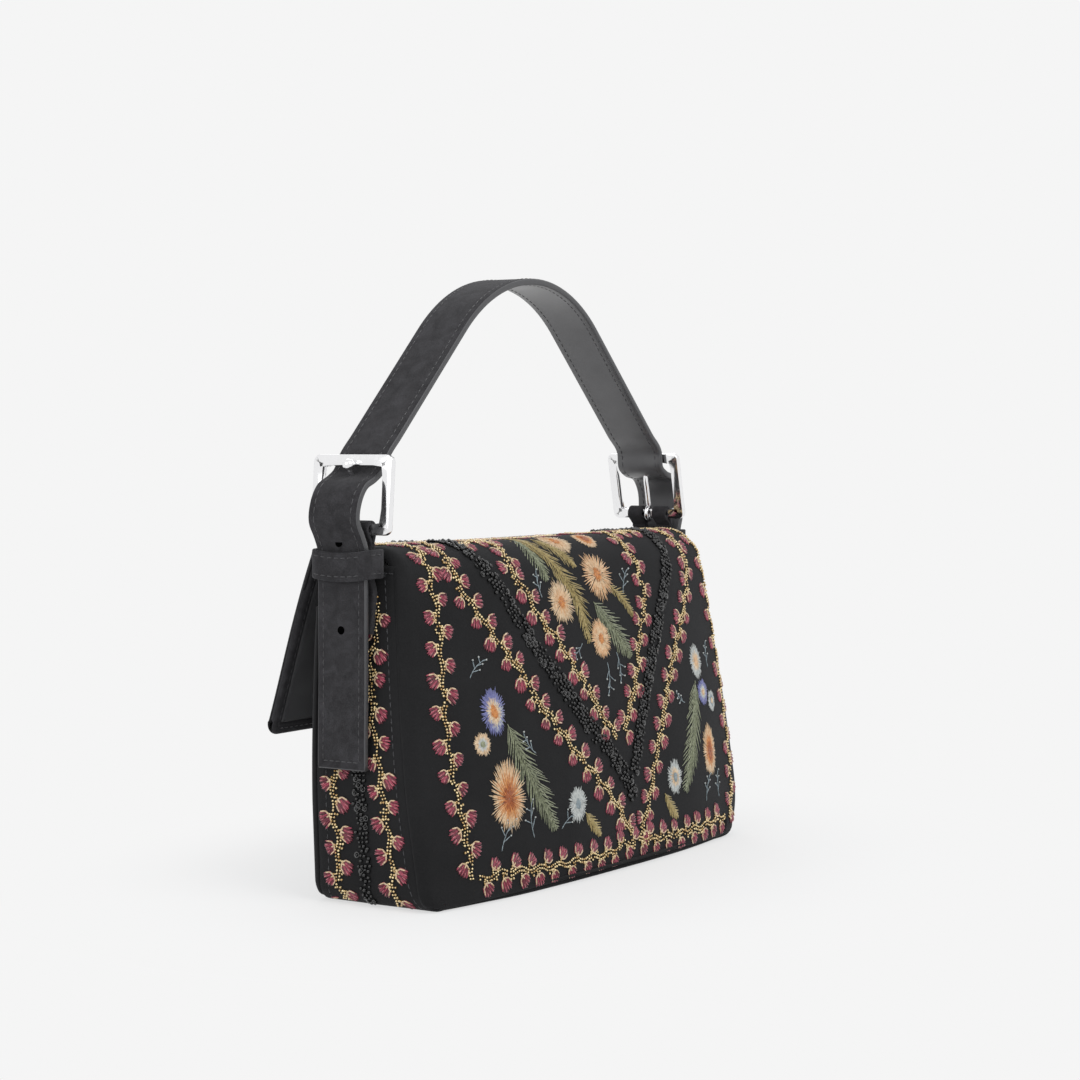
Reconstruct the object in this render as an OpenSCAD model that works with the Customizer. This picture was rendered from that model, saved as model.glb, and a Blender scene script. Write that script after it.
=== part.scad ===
// Embroidered baguette shoulder bag with a buckled strap handle
// Millimetres. The origin is the centre of the base, +X is the near end, +Y the embroidered back, +Z up.

/* [Bag body] */
// Length of the bag along its base
bag_l = 265; // [240:1:290]
// Height of the bag to the middle of its folded top
bag_h = 150; // [140:1:170]
// Depth of the base between the front and back seams
base_d = 60; // [50:1:75]
// How far the back face leans in from base to top
back_in = 24; // [14:1:30]
// How far the front face leans out from base to top
front_out = 6; // [0:0.5:10]
// How far each end leans in at the top
end_in = 11; // [6:0.5:14]
// Height at which the ends start to lean in
end_from = 40; // [20:1:60]
// Outward swell of the back face at mid length and mid height
back_swell = 14.5; // [13:0.5:16]
// Outward swell of the back face along its lower edge
low_swell = 9.5; // [8:0.5:11]
// Outward swell of the back face where it rolls over to the top
high_swell = 11; // [10:0.5:12]
// Thickness of the fabric walls
wall = 2.2; // [1.6:0.1:3]
// Thickness of the lining
lining_t = 1.2; // [0.8:0.1:2]
// Radius of the lower corners of the panels
corner_r = 14; // [8:1:20]
// Radius of the roll where the back turns over to the top
roll_r = 22; // [14:1:28]
// Fall of the top towards its ends
top_fall = 4; // [0:0.5:8]
// Forward tilt of the top, from its crest down to the flap's fold
top_tilt = 6; // [3:0.5:7]
// How far the hemmed tops of the end gussets lie below the bag's top
gusset_drop = 10; // [8:0.5:16]
// How far the front panel's upper edge, the lip of the mouth, lies below the bag's top
lip_drop = 28; // [22:1:45]

/* [Flap] */
// Drop of the flap from its fold to its lower edge
flap_drop = 80; // [60:1:90]
// Angle at which the unfastened flap hangs off the front
flap_angle = 13; // [13:0.5:25]
// Outward bow of the flap between fold and edge
flap_bow = 2; // [0:0.5:4]
// Thickness of the flap at its turned edge
flap_t = 4.2; // [3.4:0.1:5]
// Thickness of the flap's lining panel
flap_lining_t = 1.6; // [1:0.1:2]
// Width of the turned and stitched edge of the flap
flap_rim = 5; // [3:0.5:8]
// Radius of the lower corners of the flap
flap_corner_r = 6; // [4:1:16]
// Half length of the flap along its fold
flap_top_half = 119.8; // [112:0.2:120.2]
// How much wider each end of the flap is at its lower edge
flap_flare = 7; // [0:0.5:8]
// Gap between the flap's folded edge and the top
fold_gap = 0.3; // [0.2:0.05:0.6]
// Diameter of the two halves of the hidden magnetic snap
snap_d = 16; // [12:1:20]
// Thickness of each half of the snap
snap_t = 1.5; // [1:0.1:1.8]

/* [Strap] */
// Width of the strap
strap_w = 24; // [20:0.5:26]
// Thickness of the suede outer layer of the strap
suede_t = 1.6; // [1.3:0.1:2]
// Thickness of the smooth inner layer of the strap
inner_t = 1.3; // [1:0.1:1.6]
// Height of the middle of the handle above the bag's top
handle_rise = 112.5; // [105:0.5:125]
// Radius of the handle's arch on its near half
near_arch_r = 87; // [82:1:92]
// Radius of the handle's arch on its far half
far_arch_r = 79; // [76:1:84]
// Slope of the straight near leg of the handle
near_leg = 43; // [42:0.2:44]
// Slope of the straight far leg of the handle
far_leg = 41.8; // [41:0.2:43]
// Length of the hanging strap tails below their keepers
tail_l = 76.3; // [55:0.1:85]
// Distance of the hanging tails from the middle of the bag
tail_x = 134.4; // [134.2:0.1:136]
// Diameter of the punched adjusting holes
hole_d = 3.4; // [2.5:0.1:4]
// Height of the tongue's hole above the heel bar, measured along the strap
hole_rise = 26.4; // [22:0.1:28]
// Spacing of the adjusting holes along the tail
hole_pitch = 33.8; // [20:0.1:36]

/* [Buckles] */
// Width of the buckle frame
frame_w = 39.5; // [37:0.5:42]
// Height of the buckle frame
frame_h = 33; // [31:0.5:35]
// Width of the bars of the frame
frame_bar = 4.6; // [4:0.1:5]
// Thickness of the frame
frame_t = 3; // [2.4:0.1:3.2]
// Radius of the outer corners of the frame
frame_corner_r = 3; // [1.5:0.1:4]
// Diameter of the round heel bar that carries tongue and tab
heel_d = 4.2; // [3.6:0.1:4.4]
// Height of the heel bar above the bag's top
heel_rise = 4.9; // [4.6:0.1:7]
// Distance of the near heel bar from the middle of the bag
near_heel_x = 128.9; // [128:0.1:130]
// Distance of the far heel bar from the middle of the bag
far_heel_x = 125.5; // [125:0.1:127]
// Place of the near buckle across the bag
near_y = -11.5; // [-15:0.5:-8]
// Place of the far buckle across the bag
far_y = -21; // [-22:0.5:-14]
// Inward lean of the near buckle
near_lean = 5; // [3:0.5:8]
// Inward lean of the far buckle
far_lean = 13; // [9:0.5:14]
// Diameter of the tongue
tongue_d = 3; // [2.4:0.1:3.2]
// Radius of the ball at the tip of the tongue
tongue_ball_r = 2.1; // [1.7:0.1:2.3]
// Width of the tongue's eye along the heel bar
tongue_eye_w = 4.4; // [3:0.1:5]
// Wall of the tongue's eye round the heel bar
eye_wall = 1.3; // [1:0.1:1.4]

/* [Tabs and keepers] */
// Width of the tab
tab_w = 21; // [18:0.5:23]
// Thickness of the leather of the tab, which is folded double
tab_leather = 1.6; // [1.2:0.1:1.8]
// Distance of the upright part of the tab from the middle of the bag
tab_x = 128.3; // [128:0.1:129]
// Length of the tab's part below the keeper
tab_sewn = 21.6; // [16:0.1:30]
// Height of the keeper loop
keeper_h = 12; // [8:0.5:12.5]
// How far the keeper's upper edge lies below the bag's top
keeper_drop = 3; // [3:0.1:4]
// Thickness of the keeper's leather
keeper_t = 1.8; // [1.2:0.1:1.8]

/* [Clearances] */
// Clearance of a bore round the heel bar
bar_clear = 0.06; // [0.02:0.01:0.15]
// Clearance of the tongue in a strap hole
tongue_clear = 0.5; // [0.2:0.05:0.8]
// Clearance of the keeper round tab and strap
keeper_clear = 0.5; // [0.3:0.05:0.6]
// Gap between the swaying strap and its seated lower part
sway_gap = 0.4; // [0.3:0.05:0.6]
// Gap between a small fitting and the cloth that it is seated on
seat_gap = 0.3; // [0.2:0.05:0.4]

/* [Hidden] */
$fn = 64;

// Colours as they read on the object
cloth_black = "#262629";
lining_black = "#1c1c1e";
suede_grey = "#45434a";
leather_grey = "#4d4d4f";
polished = "#c9cbce";

// Reach past the part that cutting shapes get
reach = 400;
// Half sizes of the body
half_l = bag_l / 2;
half_d = base_d / 2;
back_lean = atan(back_in / bag_h);
// The back face is rounded up its height: its lower third leans less, its upper third leans more
low_lean = atan(back_in / 3 / bag_h);
high_in = back_in + 10;
high_lean = atan(high_in / bag_h);
front_lean = atan(front_out / bag_h);
// Power of the swell curve: flat in the middle, round towards the ends
swell_power = 3;
// The side profile stands this far outside the crest of the back's upper third
crest_clear = 0.4;
// Radius of the lower front edge
edge_r = 4;
// Power of the lean of the ends and of the fall of the top
lean_power = 1.5;
fall_power = 6;
curve_steps = 24;
corner_steps = 8;
side_steps = 9;

// Middle and turn of the handle, which runs from buckle to buckle
handle_mid_x = (near_heel_x - far_heel_x) / 2;
handle_mid_y = (near_y + far_y) / 2;
handle_turn = atan((near_y - far_y) / (near_heel_x + far_heel_x));
span_half = (near_heel_x + far_heel_x) / 2 / cos(handle_turn);
strap_t = suede_t + inner_t;
heel_z = bag_h + heel_rise;
handle_z = bag_h + handle_rise;
keeper_top = bag_h - keeper_drop;
gusset_top = bag_h - gusset_drop;
lip_z = bag_h - lip_drop;
heel_r = heel_d / 2;
bar_pitch = frame_h - frame_bar;
// The handle sways about a line in the gussets, and the joint face round it clears the keeper
sway_z = bag_h - 50;
keeper_room = 1.5;
sway_r = norm([keeper_top + keeper_room - sway_z, strap_w / 2 + keeper_clear + keeper_t]);
// The tail lifts from here, just under the keeper
lift_gap = 0.6;
lift_drop = 1.4;
lift_z = keeper_top - keeper_h - lift_drop;
tail_z = lift_z - lift_gap / 2 - tail_l;
// The tab is sewn to the gusset between these heights
tab_foot_z = lift_z - tab_sewn;
tab_leave_z = lift_z - 6;
tab_t = 2 * tab_leather;

// Middle of the roll between back and top
roll_z = bag_h - roll_r;
roll_y = half_d + high_in - back_in + high_swell + crest_clear
    - (roll_z + roll_r * sin(high_lean)) * tan(high_lean) - roll_r * cos(high_lean);

// The flap's fold line, level with the tilted top
fold_r = flap_t / 2;
fold_y = -half_d - front_out - fold_r - fold_gap;
fold_z = tilted_z(fold_y, fold_r);

// Height of the tilted top at y, moved in by t
function tilted_z(y, t) = roll_z + (roll_r - t) / cos(top_tilt) - (roll_y - y) * tan(top_tilt);

function end_x(z) =
    half_l - end_in * pow(max(0, (z - end_from) / (bag_h - end_from)), lean_power);
function swell_y(x, swell) =
    half_d + swell * (1 - pow(abs(x) / half_l, swell_power));
function top_z(x) = bag_h - top_fall * pow(abs(x) / half_l, fall_power);
function arc(cx, cy, r, a0, a1, n) =
    [for (i = [0:n]) let (a = a0 + (a1 - a0) * i / n) [cx + r * cos(a), cy + r * sin(a)]];
function mirrored(points) = [for (i = [len(points) - 1:-1:0]) [-points[i][0], points[i][1]]];

// Direction of a path at point i, and the path moved sideways by d
function path_dir(p, i) =
    let (a = p[max(0, i - 1)], b = p[min(len(p) - 1, i + 1)]) (b - a) / norm(b - a);
function moved_path(p, d) =
    [for (i = [0:len(p) - 1]) let (t = path_dir(p, i)) p[i] + d * [-t[1], t[0]]];
function reversed(p) = [for (i = [len(p) - 1:-1:0]) p[i]];
function band(p, d0, d1) = concat(moved_path(p, d0), reversed(moved_path(p, d1)));

// Smooth curve through points, n steps between each pair
function tangent(p, i) =
    let (
        last = len(p) - 1,
        a = i == 0 ? p[1] - p[0] : p[i] - p[i - 1],
        b = i == last ? a : p[i + 1] - p[i]
    )
    (a / norm(a) * norm(b) + b / norm(b) * norm(a)) / (norm(a) + norm(b));
function curve_at(a, b, da, db, t) =
    (2 * pow(t, 3) - 3 * t * t + 1) * a + (pow(t, 3) - 2 * t * t + t) * da
    + (3 * t * t - 2 * pow(t, 3)) * b + (pow(t, 3) - t * t) * db;
function spline(p, n) =
    concat(
        [for (i = [0:len(p) - 2], k = [0:n - 1]) let (l = norm(p[i + 1] - p[i]))
            curve_at(p[i], p[i + 1], l * tangent(p, i), l * tangent(p, i + 1), k / n)],
        [p[len(p) - 1]]
    );

// Extrusion of an (x, z) outline along Y, centred
module along_y(w) {
    rotate([90, 0, 0]) linear_extrude(w, center = true) children();
}

// Extrusion of a (y, z) outline along X, centred
module along_x(w) {
    rotate([90, 0, 90]) linear_extrude(w, center = true) children();
}

// Everything in front of one swollen, leaning face, moved in by t
module leaning_form(lean, swell, t) {
    curve = [for (i = [0:curve_steps]) let (x = half_l * (2 * i / curve_steps - 1))
        [x, (swell_y(x, swell) - t) * cos(lean)]];
    outline = concat(
        [[-reach, -reach], [reach, -reach], [reach, curve[curve_steps][1]]],
        reversed(curve),
        [[-reach, curve[0][1]]]
    );
    rotate([lean, 0, 0]) translate([0, 0, -bag_h]) linear_extrude(3 * bag_h) polygon(outline);
}

// Everything in front of the back face, moved in by t
module back_form(t) {
    intersection() {
        leaning_form(low_lean, low_swell, t);
        leaning_form(back_lean, back_swell, t);
        translate([0, high_in - back_in, 0]) leaning_form(high_lean, high_swell, t);
    }
}

// Everything behind the front face, moved in by t
module front_form(t) {
    rotate([front_lean, 0, 0])
        translate([-reach, -half_d * cos(front_lean) + t, -reach]) cube([2 * reach, 2 * reach, 2 * reach]);
}

// Everything under the rolled top, moved in by t
module top_form(t) {
    roll = arc(roll_y, roll_z, roll_r - t, 90 + top_tilt, high_lean, corner_steps + 2);
    foot = roll[len(roll) - 1];
    side = concat(
        [[-reach, -reach], [-reach, tilted_z(-reach, t)]],
        roll,
        [[foot[0] + (foot[1] + reach) * tan(high_lean), -reach]]
    );
    crown = [for (i = [0:curve_steps]) let (x = half_l * (2 * i / curve_steps - 1)) [x, top_z(x) - t]];
    intersection() {
        along_x(4 * reach) polygon(side);
        along_y(4 * reach) polygon(concat([[half_l, -reach], [-half_l, -reach]], crown));
    }
}

// The outline of the panels seen from the back, moved in by t
module end_form(t) {
    right = concat(
        arc(half_l - corner_r, corner_r, corner_r - t, -90, 0, corner_steps),
        [for (i = [1:side_steps]) let (z = end_from + (bag_h + corner_r - end_from) * i / side_steps)
            [end_x(z) - t, z]]
    );
    along_y(4 * reach) polygon(concat(right, mirrored(right)));
}

module body_form() {
    intersection() {
        back_form(0);
        front_form(0);
        top_form(0);
        end_form(0);
    }
}

// The space behind the back and top cloth
module behind_back(t) {
    intersection() {
        back_form(t);
        top_form(t);
    }
}

// Everything above height z
module above(z) {
    translate([-reach, -reach, z]) cube([2 * reach, 2 * reach, reach]);
}

module back_panel() {
    color(cloth_black) difference() {
        body_form();
        behind_back(wall);
    }
}

module front_panel() {
    color(cloth_black) difference() {
        intersection() {
            body_form();
            behind_back(wall);
        }
        front_form(wall);
        above(lip_z);
    }
}

// The strip between the front and back panels: both ends and the base
module strip_form() {
    difference() {
        intersection() {
            body_form();
            behind_back(wall);
            front_form(wall);
        }
        end_form(wall);
        above(gusset_top);
    }
}

module gusset(side) {
    seam_x = half_l - corner_r - 2 * edge_r;
    color(cloth_black) intersection() {
        strip_form();
        translate([side > 0 ? seam_x : -seam_x - reach, -reach, -reach]) cube([reach, 2 * reach, 2 * reach]);
    }
}

module gusset_near() {
    gusset(1);
}

module gusset_far() {
    gusset(-1);
}

module base_panel() {
    seam_x = half_l - corner_r - 2 * edge_r;
    color(cloth_black) intersection() {
        strip_form();
        translate([-seam_x, -reach, -reach]) cube([2 * seam_x, 2 * reach, 2 * reach]);
    }
}

module lining() {
    color(lining_black) difference() {
        intersection() {
            behind_back(wall);
            front_form(wall);
            end_form(wall);
        }
        intersection() {
            behind_back(wall + lining_t);
            front_form(wall + lining_t);
            end_form(wall + lining_t);
        }
        // The mouth stays open in front and at the ends
        translate([-reach, -reach, lip_z]) cube([2 * reach, reach - half_d + 2 * wall, reach]);
        for (side = [-1, 1])
            translate([side * (end_x(gusset_top) + reach / 2 - 2 * wall), 0, gusset_top + reach / 2])
                cube([reach, 2 * reach, reach], center = true);
    }
}

// Path of the flap's middle from the fold to the lower edge, in (y, z)
function flap_path() =
    [for (i = [0:corner_steps]) let (s = i / corner_steps, d = flap_drop * s, b = flap_bow * 4 * s * (1 - s))
        [fold_y - d * sin(flap_angle) - b * cos(flap_angle), fold_z - d * cos(flap_angle) + b * sin(flap_angle)]];

// Outline of the flap in (x, z), moved in by t
module flap_outline(t) {
    low_z = fold_z - flap_drop * cos(flap_angle) + t;
    low_x = flap_top_half + flap_flare - t;
    r = max(1, flap_corner_r - t);
    right = concat(
        arc(low_x - r, low_z + r, r, -90, 0, corner_steps),
        [[flap_top_half - t, fold_z - t]],
        t > 0 ? [] : [[flap_top_half, fold_z + reach]]
    );
    along_y(4 * reach) polygon(concat(right, mirrored(right)));
}

module flap_lining_form() {
    intersection() {
        along_x(4 * reach) polygon(band(flap_path(), fold_r, fold_r - flap_lining_t));
        flap_outline(flap_rim);
    }
}

module flap_outer() {
    color(cloth_black) {
        difference() {
            union() {
                intersection() {
                    along_x(4 * reach) polygon(band(flap_path(), fold_r, -fold_r));
                    flap_outline(0);
                }
                translate([0, fold_y, fold_z]) rotate([0, 90, 0])
                    cylinder(r = fold_r, h = 2 * flap_top_half, center = true);
            }
            flap_lining_form();
        }
    }
}

module flap_lining() {
    color(lining_black) flap_lining_form();
}

// The snap sits three quarters of the way down the flap
snap_i = round(0.75 * corner_steps);
snap_boss_d = snap_d / 3;

module snap_stud() {
    p = moved_path(flap_path(), fold_r + seat_gap)[snap_i];
    along = path_dir(flap_path(), snap_i);
    color(polished) translate([0, p[0], p[1]]) rotate([atan2(along[1], along[0]), 0, 0]) {
        cylinder(d = snap_d, h = snap_t);
        translate([0, 0, snap_t]) cylinder(d = snap_boss_d, h = snap_t / 2);
    }
}

module snap_socket() {
    z = fold_z - flap_drop * snap_i / corner_steps;
    y = -half_d - z * tan(front_lean) - seat_gap / 2;
    color(polished) translate([0, y, z]) rotate([90 + front_lean, 0, 0]) difference() {
        cylinder(d = snap_d, h = snap_t);
        translate([0, 0, snap_t / 2]) cylinder(d = snap_boss_d + 1, h = snap_t);
    }
}

// The handle's own frame: X runs from the far to the near buckle
module in_handle() {
    translate([handle_mid_x, handle_mid_y, 0]) rotate([0, 0, handle_turn]) children();
}

// One end of the handle in (x, z), for an arch of radius r, a leg at slope a, a buckle leaning by lean and a
// strap that leaves at exit_x: down the leg, inside the top bar, out over the heel bar and down
function foot_points(r, a, lean, exit_x) =
    let (
        bar = span_half - bar_pitch * sin(lean),
        top = heel_z + bar_pitch * cos(lean),
        leg_x = r * sin(a),
        leg_z = handle_z - r * (1 - cos(a)),
        half_t = strap_t / 2,
        gate = bar - frame_t / 2 - half_t,
        last = min(gate - 1.2, leg_x + (leg_z - top - 1.5) / tan(a)) - leg_x
    )
    [
        for (part = [0.3, 0.6, 0.85, 1]) [leg_x + part * last, leg_z - part * last * tan(a)],
        [gate + 0.2, top - frame_bar / 2 - half_t - 1.2],
        [bar + frame_t / 2 + 0.7, top - frame_bar - strap_t - 0.4],
        [span_half + heel_d - 0.3, top - frame_bar - 2 * strap_t - 0.2],
        [span_half + heel_d + strap_t, heel_z + 0.37 * bar_pitch],
        [span_half + heel_d + strap_t + 1, heel_z + 0.14 * bar_pitch],
        [(5 * exit_x + span_half + heel_d + strap_t) / 6, heel_z - 2.5],
        [exit_x, heel_z - keeper_h]
    ];
// Where the strap leaves each buckle, so that it runs on in the hanging tail
near_exit = (tail_x - handle_mid_x) / cos(handle_turn);
far_exit = (tail_x + handle_mid_x) / cos(handle_turn);
foot_steps = 4;
near_foot = spline(foot_points(near_arch_r, near_leg, near_lean, near_exit), foot_steps);
far_foot = spline(foot_points(far_arch_r, far_leg, far_lean, far_exit), foot_steps);
arch_steps = 9;
handle_path = concat(
    [for (i = [len(far_foot) - 1:-1:0]) [-far_foot[i][0], far_foot[i][1]]],
    arc(0, handle_z - far_arch_r, far_arch_r, 90 + far_leg, 90 + far_leg / arch_steps, arch_steps - 1),
    arc(0, handle_z - near_arch_r, near_arch_r, 90, 90 - near_leg, arch_steps),
    near_foot
);

// The round face on which the swaying handle meets its seated lower parts
module sway_form(r) {
    translate([0, 0, sway_z]) rotate([0, 90, 0]) cylinder(r = r, h = 4 * reach, center = true);
}

module strap_layer(d0, d1) {
    in_handle() difference() {
        along_y(strap_w) polygon(band(handle_path, d0, d1));
        sway_form(sway_r);
        for (side = [-1, 1]) at_heel(side) tongue_rod(tongue_d / 2 + tongue_clear);
    }
}

module strap_outer() {
    color(suede_grey) strap_layer(0, strap_t / 2 + (suede_t - inner_t) / 2);
}

module strap_lining() {
    color(leather_grey) strap_layer(-strap_t / 2 + (suede_t - inner_t) / 2, 0);
}

// The heel bar's frame: Z runs along the leaning buckle, +X points outwards
module at_heel(side) {
    lean = side > 0 ? near_lean : far_lean;
    mirror([side > 0 ? 0 : 1, 0, 0]) translate([span_half, 0, heel_z]) rotate([0, -lean, 0]) children();
}

// Rectangle with round corners
module round_rect(w, h, r) {
    square([w - 2 * r, h], center = true);
    square([w, h - 2 * r], center = true);
    for (x = [-1, 1], y = [-1, 1]) translate([x * (w / 2 - r), y * (h / 2 - r)]) circle(r);
}

module buckle_frame(side) {
    inner_w = frame_w - 2 * frame_bar;
    color(polished) in_handle() at_heel(side) {
        difference() {
            translate([0, 0, bar_pitch / 2]) along_x(frame_t) round_rect(frame_w, frame_h, frame_corner_r);
            translate([0, 0, bar_pitch / 2 - frame_bar]) along_x(2 * frame_t)
                square([inner_w, bar_pitch + frame_bar], center = true);
        }
        rotate([90, 0, 0]) cylinder(r = heel_r, h = inner_w + frame_bar, center = true);
    }
}

module frame_near() {
    buckle_frame(1);
}

module frame_far() {
    buckle_frame(-1);
}

// The tongue lies on the outer face of the top bar
tongue_tilt = asin((frame_t / 2 + tongue_d / 2 + bar_clear) / bar_pitch);
tongue_l = bar_pitch + frame_bar / 2 + tongue_ball_r;

module tongue_rod(r) {
    rotate([0, tongue_tilt, 0]) cylinder(r = r, h = tongue_l);
}

module tongue(side) {
    color(polished) in_handle() at_heel(side) difference() {
        union() {
            tongue_rod(tongue_d / 2);
            rotate([0, tongue_tilt, 0]) translate([0, 0, tongue_l]) sphere(tongue_ball_r);
            rotate([90, 0, 0]) cylinder(r = heel_r + eye_wall, h = tongue_eye_w, center = true);
        }
        rotate([90, 0, 0]) cylinder(r = heel_r + bar_clear, h = 2 * tongue_eye_w, center = true);
    }
}

module tongue_near() {
    tongue(1);
}

module tongue_far() {
    tongue(-1);
}

// The upper end of the tab, folded round the heel bar and slotted for the tongue
module tab_loop(side) {
    x0 = span_half;
    stem_x = (tab_x - side * handle_mid_x) / cos(handle_turn);
    color(suede_grey) in_handle() mirror([side > 0 ? 0 : 1, 0, 0]) difference() {
        along_y(tab_w) {
            translate([x0, heel_z]) circle(heel_r + bar_clear + tab_leather);
            translate([stem_x - tab_t / 2, heel_z - 3 * tab_t]) square([tab_t, 3 * tab_t]);
        }
        translate([x0, 0, heel_z]) rotate([90, 0, 0])
            cylinder(r = heel_r + bar_clear, h = 2 * strap_w, center = true);
        translate([x0 - reach / 2, -tongue_eye_w / 2 - tongue_clear, heel_z - heel_r - eye_wall - seat_gap])
            cube([reach, tongue_eye_w + 2 * tongue_clear, reach]);
        sway_form(sway_r);
    }
}

module tab_loop_near() {
    tab_loop(1);
}

module tab_loop_far() {
    tab_loop(-1);
}

// One end of the bag: the near end, or its mirror image, at the buckle's place across the bag
module at_end(side) {
    translate([0, side > 0 ? near_y : far_y, 0]) mirror([side > 0 ? 0 : 1, 0, 0]) children();
}

// The tab is sewn to the gusset below and stands clear of it above
tab_path = concat(
    [for (i = [0:side_steps]) let (z = tab_foot_z + (tab_leave_z - tab_foot_z) * i / side_steps)
        [end_x(z) + tab_t / 2, z]],
    spline([
        [end_x(tab_leave_z + 2) + tab_t / 2 + 0.4, tab_leave_z + 2],
        [tab_x - 0.6, lift_z - 0.5],
        [tab_x, keeper_top - keeper_h],
        [tab_x, keeper_top],
        [tab_x, sway_z + sway_r]
    ], foot_steps)
);

module tab(side) {
    color(suede_grey) at_end(side) intersection() {
        along_y(tab_w) polygon(band(tab_path, -tab_t / 2, tab_t / 2));
        sway_form(sway_r - sway_gap);
    }
}

module tab_near() {
    tab(1);
}

module tab_far() {
    tab(-1);
}

// Height of hole i, counted down from the tongue's hole
function tail_hole_z(i) = heel_z + hole_rise - i * hole_pitch;

// The strap's part inside the keeper
module tail_seat(side) {
    color(suede_grey) at_end(side) intersection() {
        translate([tail_x - strap_t / 2, -strap_w / 2, lift_z + lift_gap / 2]) difference() {
            cube([strap_t, strap_w, heel_z - lift_z]);
            translate([-1, strap_w / 2, tail_hole_z(1) - lift_z - lift_gap / 2])
                rotate([0, 90, 0]) cylinder(d = hole_d, h = strap_t + 2);
        }
        sway_form(sway_r - sway_gap);
    }
}

module tail_seat_near() {
    tail_seat(1);
}

module tail_seat_far() {
    tail_seat(-1);
}

module tail(side) {
    color(suede_grey) at_end(side) translate([tail_x - strap_t / 2, -strap_w / 2, tail_z]) difference() {
        cube([strap_t, strap_w, lift_z - lift_gap / 2 - tail_z]);
        translate([-1, strap_w / 2, tail_hole_z(2) - tail_z])
            rotate([0, 90, 0]) cylinder(d = hole_d, h = strap_t + 2);
    }
}

module tail_near() {
    tail(1);
}

module tail_far() {
    tail(-1);
}

module keeper(side) {
    x0 = tab_x - tab_t / 2 - keeper_clear;
    x1 = tail_x + strap_t / 2 + keeper_clear;
    inner_w = strap_w + 2 * keeper_clear;
    color(suede_grey) at_end(side) translate([(x0 + x1) / 2, 0, keeper_top - keeper_h])
        linear_extrude(keeper_h) difference() {
            round_rect(x1 - x0 + 2 * keeper_t, inner_w + 2 * keeper_t, keeper_t);
            square([x1 - x0, inner_w], center = true);
        }
}

module keeper_near() {
    keeper(1);
}

module keeper_far() {
    keeper(-1);
}

back_panel();
front_panel();
gusset_near();
gusset_far();
base_panel();
lining();
flap_outer();
flap_lining();
snap_stud();
snap_socket();
strap_outer();
strap_lining();
frame_near();
frame_far();
tongue_near();
tongue_far();
tab_loop_near();
tab_loop_far();
tab_near();
tab_far();
tail_seat_near();
tail_seat_far();
tail_near();
tail_far();
keeper_near();
keeper_far();
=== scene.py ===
"""Embroidered baguette shoulder bag: cloth, suede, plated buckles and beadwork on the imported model's frame."""

import logging
import random
from collections.abc import Callable, Sequence
from dataclasses import dataclass, field
from enum import Enum
from math import asin, atan, atan2, cos, hypot, pi, radians, sin, sqrt, tan
from typing import NamedTuple

import bmesh
import bpy
import numpy as np
from mathutils import Matrix, Vector, noise


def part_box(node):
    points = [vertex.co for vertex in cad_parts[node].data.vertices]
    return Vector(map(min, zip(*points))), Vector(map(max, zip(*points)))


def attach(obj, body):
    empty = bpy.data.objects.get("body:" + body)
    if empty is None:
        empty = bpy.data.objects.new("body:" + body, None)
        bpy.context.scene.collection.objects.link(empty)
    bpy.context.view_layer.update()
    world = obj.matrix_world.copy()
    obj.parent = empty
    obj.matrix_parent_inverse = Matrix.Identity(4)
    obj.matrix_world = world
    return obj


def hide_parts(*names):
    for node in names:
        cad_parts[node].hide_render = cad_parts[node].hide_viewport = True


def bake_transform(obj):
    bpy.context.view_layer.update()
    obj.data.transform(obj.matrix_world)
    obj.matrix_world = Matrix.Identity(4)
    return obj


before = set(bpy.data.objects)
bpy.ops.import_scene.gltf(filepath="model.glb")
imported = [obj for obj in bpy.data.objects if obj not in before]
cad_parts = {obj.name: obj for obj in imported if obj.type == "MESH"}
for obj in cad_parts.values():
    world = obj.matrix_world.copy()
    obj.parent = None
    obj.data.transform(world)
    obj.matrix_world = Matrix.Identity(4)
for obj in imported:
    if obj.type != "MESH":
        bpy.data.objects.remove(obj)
log = logging.getLogger("bag")
MM = 0.001
WAVE = 0.31  # spacing of a wave texture's bands at scale 1
ENDS = ((1, "near"), (-1, "far"))
SEAM = (0.5, 0.45)  # width and height of a sewing stitch, in millimetres
SADDLE = (0.55, 0.42)  # the same on the strap
FINE = (0.5, 0.4)  # the same on the keepers
FACES = ((1.62, 1), (-1.32, -1))  # height of the strap's stitches over its middle layer, and the way out

Mesh, Piece, Tree, Node = bmesh.types.BMesh, bpy.types.Object, bpy.types.NodeTree, bpy.types.Node
Socket = bpy.types.NodeSocket
Pair = tuple[float, float]
Triple = tuple[float, float, float]
Quad = tuple[float, float, float, float]
Surface = Callable[[float, float], Vector]
Sweep = Callable[[float, float, float], Vector]


# ---------------------------------------------------------------- small tools


def linear(code: str) -> Quad:
    """Turns an sRGB hex colour to linear light.

    Args:
        code: Six hex digits, with or without a leading hash.

    Returns:
        Red, green, blue and an alpha of 1.
    """
    code = code.lstrip("#")
    parts = [int(code[i:i + 2], 16) / 255 for i in (0, 2, 4)]
    return tuple(c / 12.92 if c <= 0.04045 else ((c + 0.055) / 1.055) ** 2.4 for c in parts) + (1.0,)


def fill(tree: Tree, node: Node, inputs: dict) -> None:
    """Sets or links a node's inputs.

    Args:
        tree: The node tree.
        node: The node.
        inputs: Input name or number, and the value or output socket that it gets.
    """
    for key, value in inputs.items():
        if isinstance(value, Socket):
            tree.links.new(value, node.inputs[key])
        else:
            node.inputs[key].default_value = value


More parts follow.
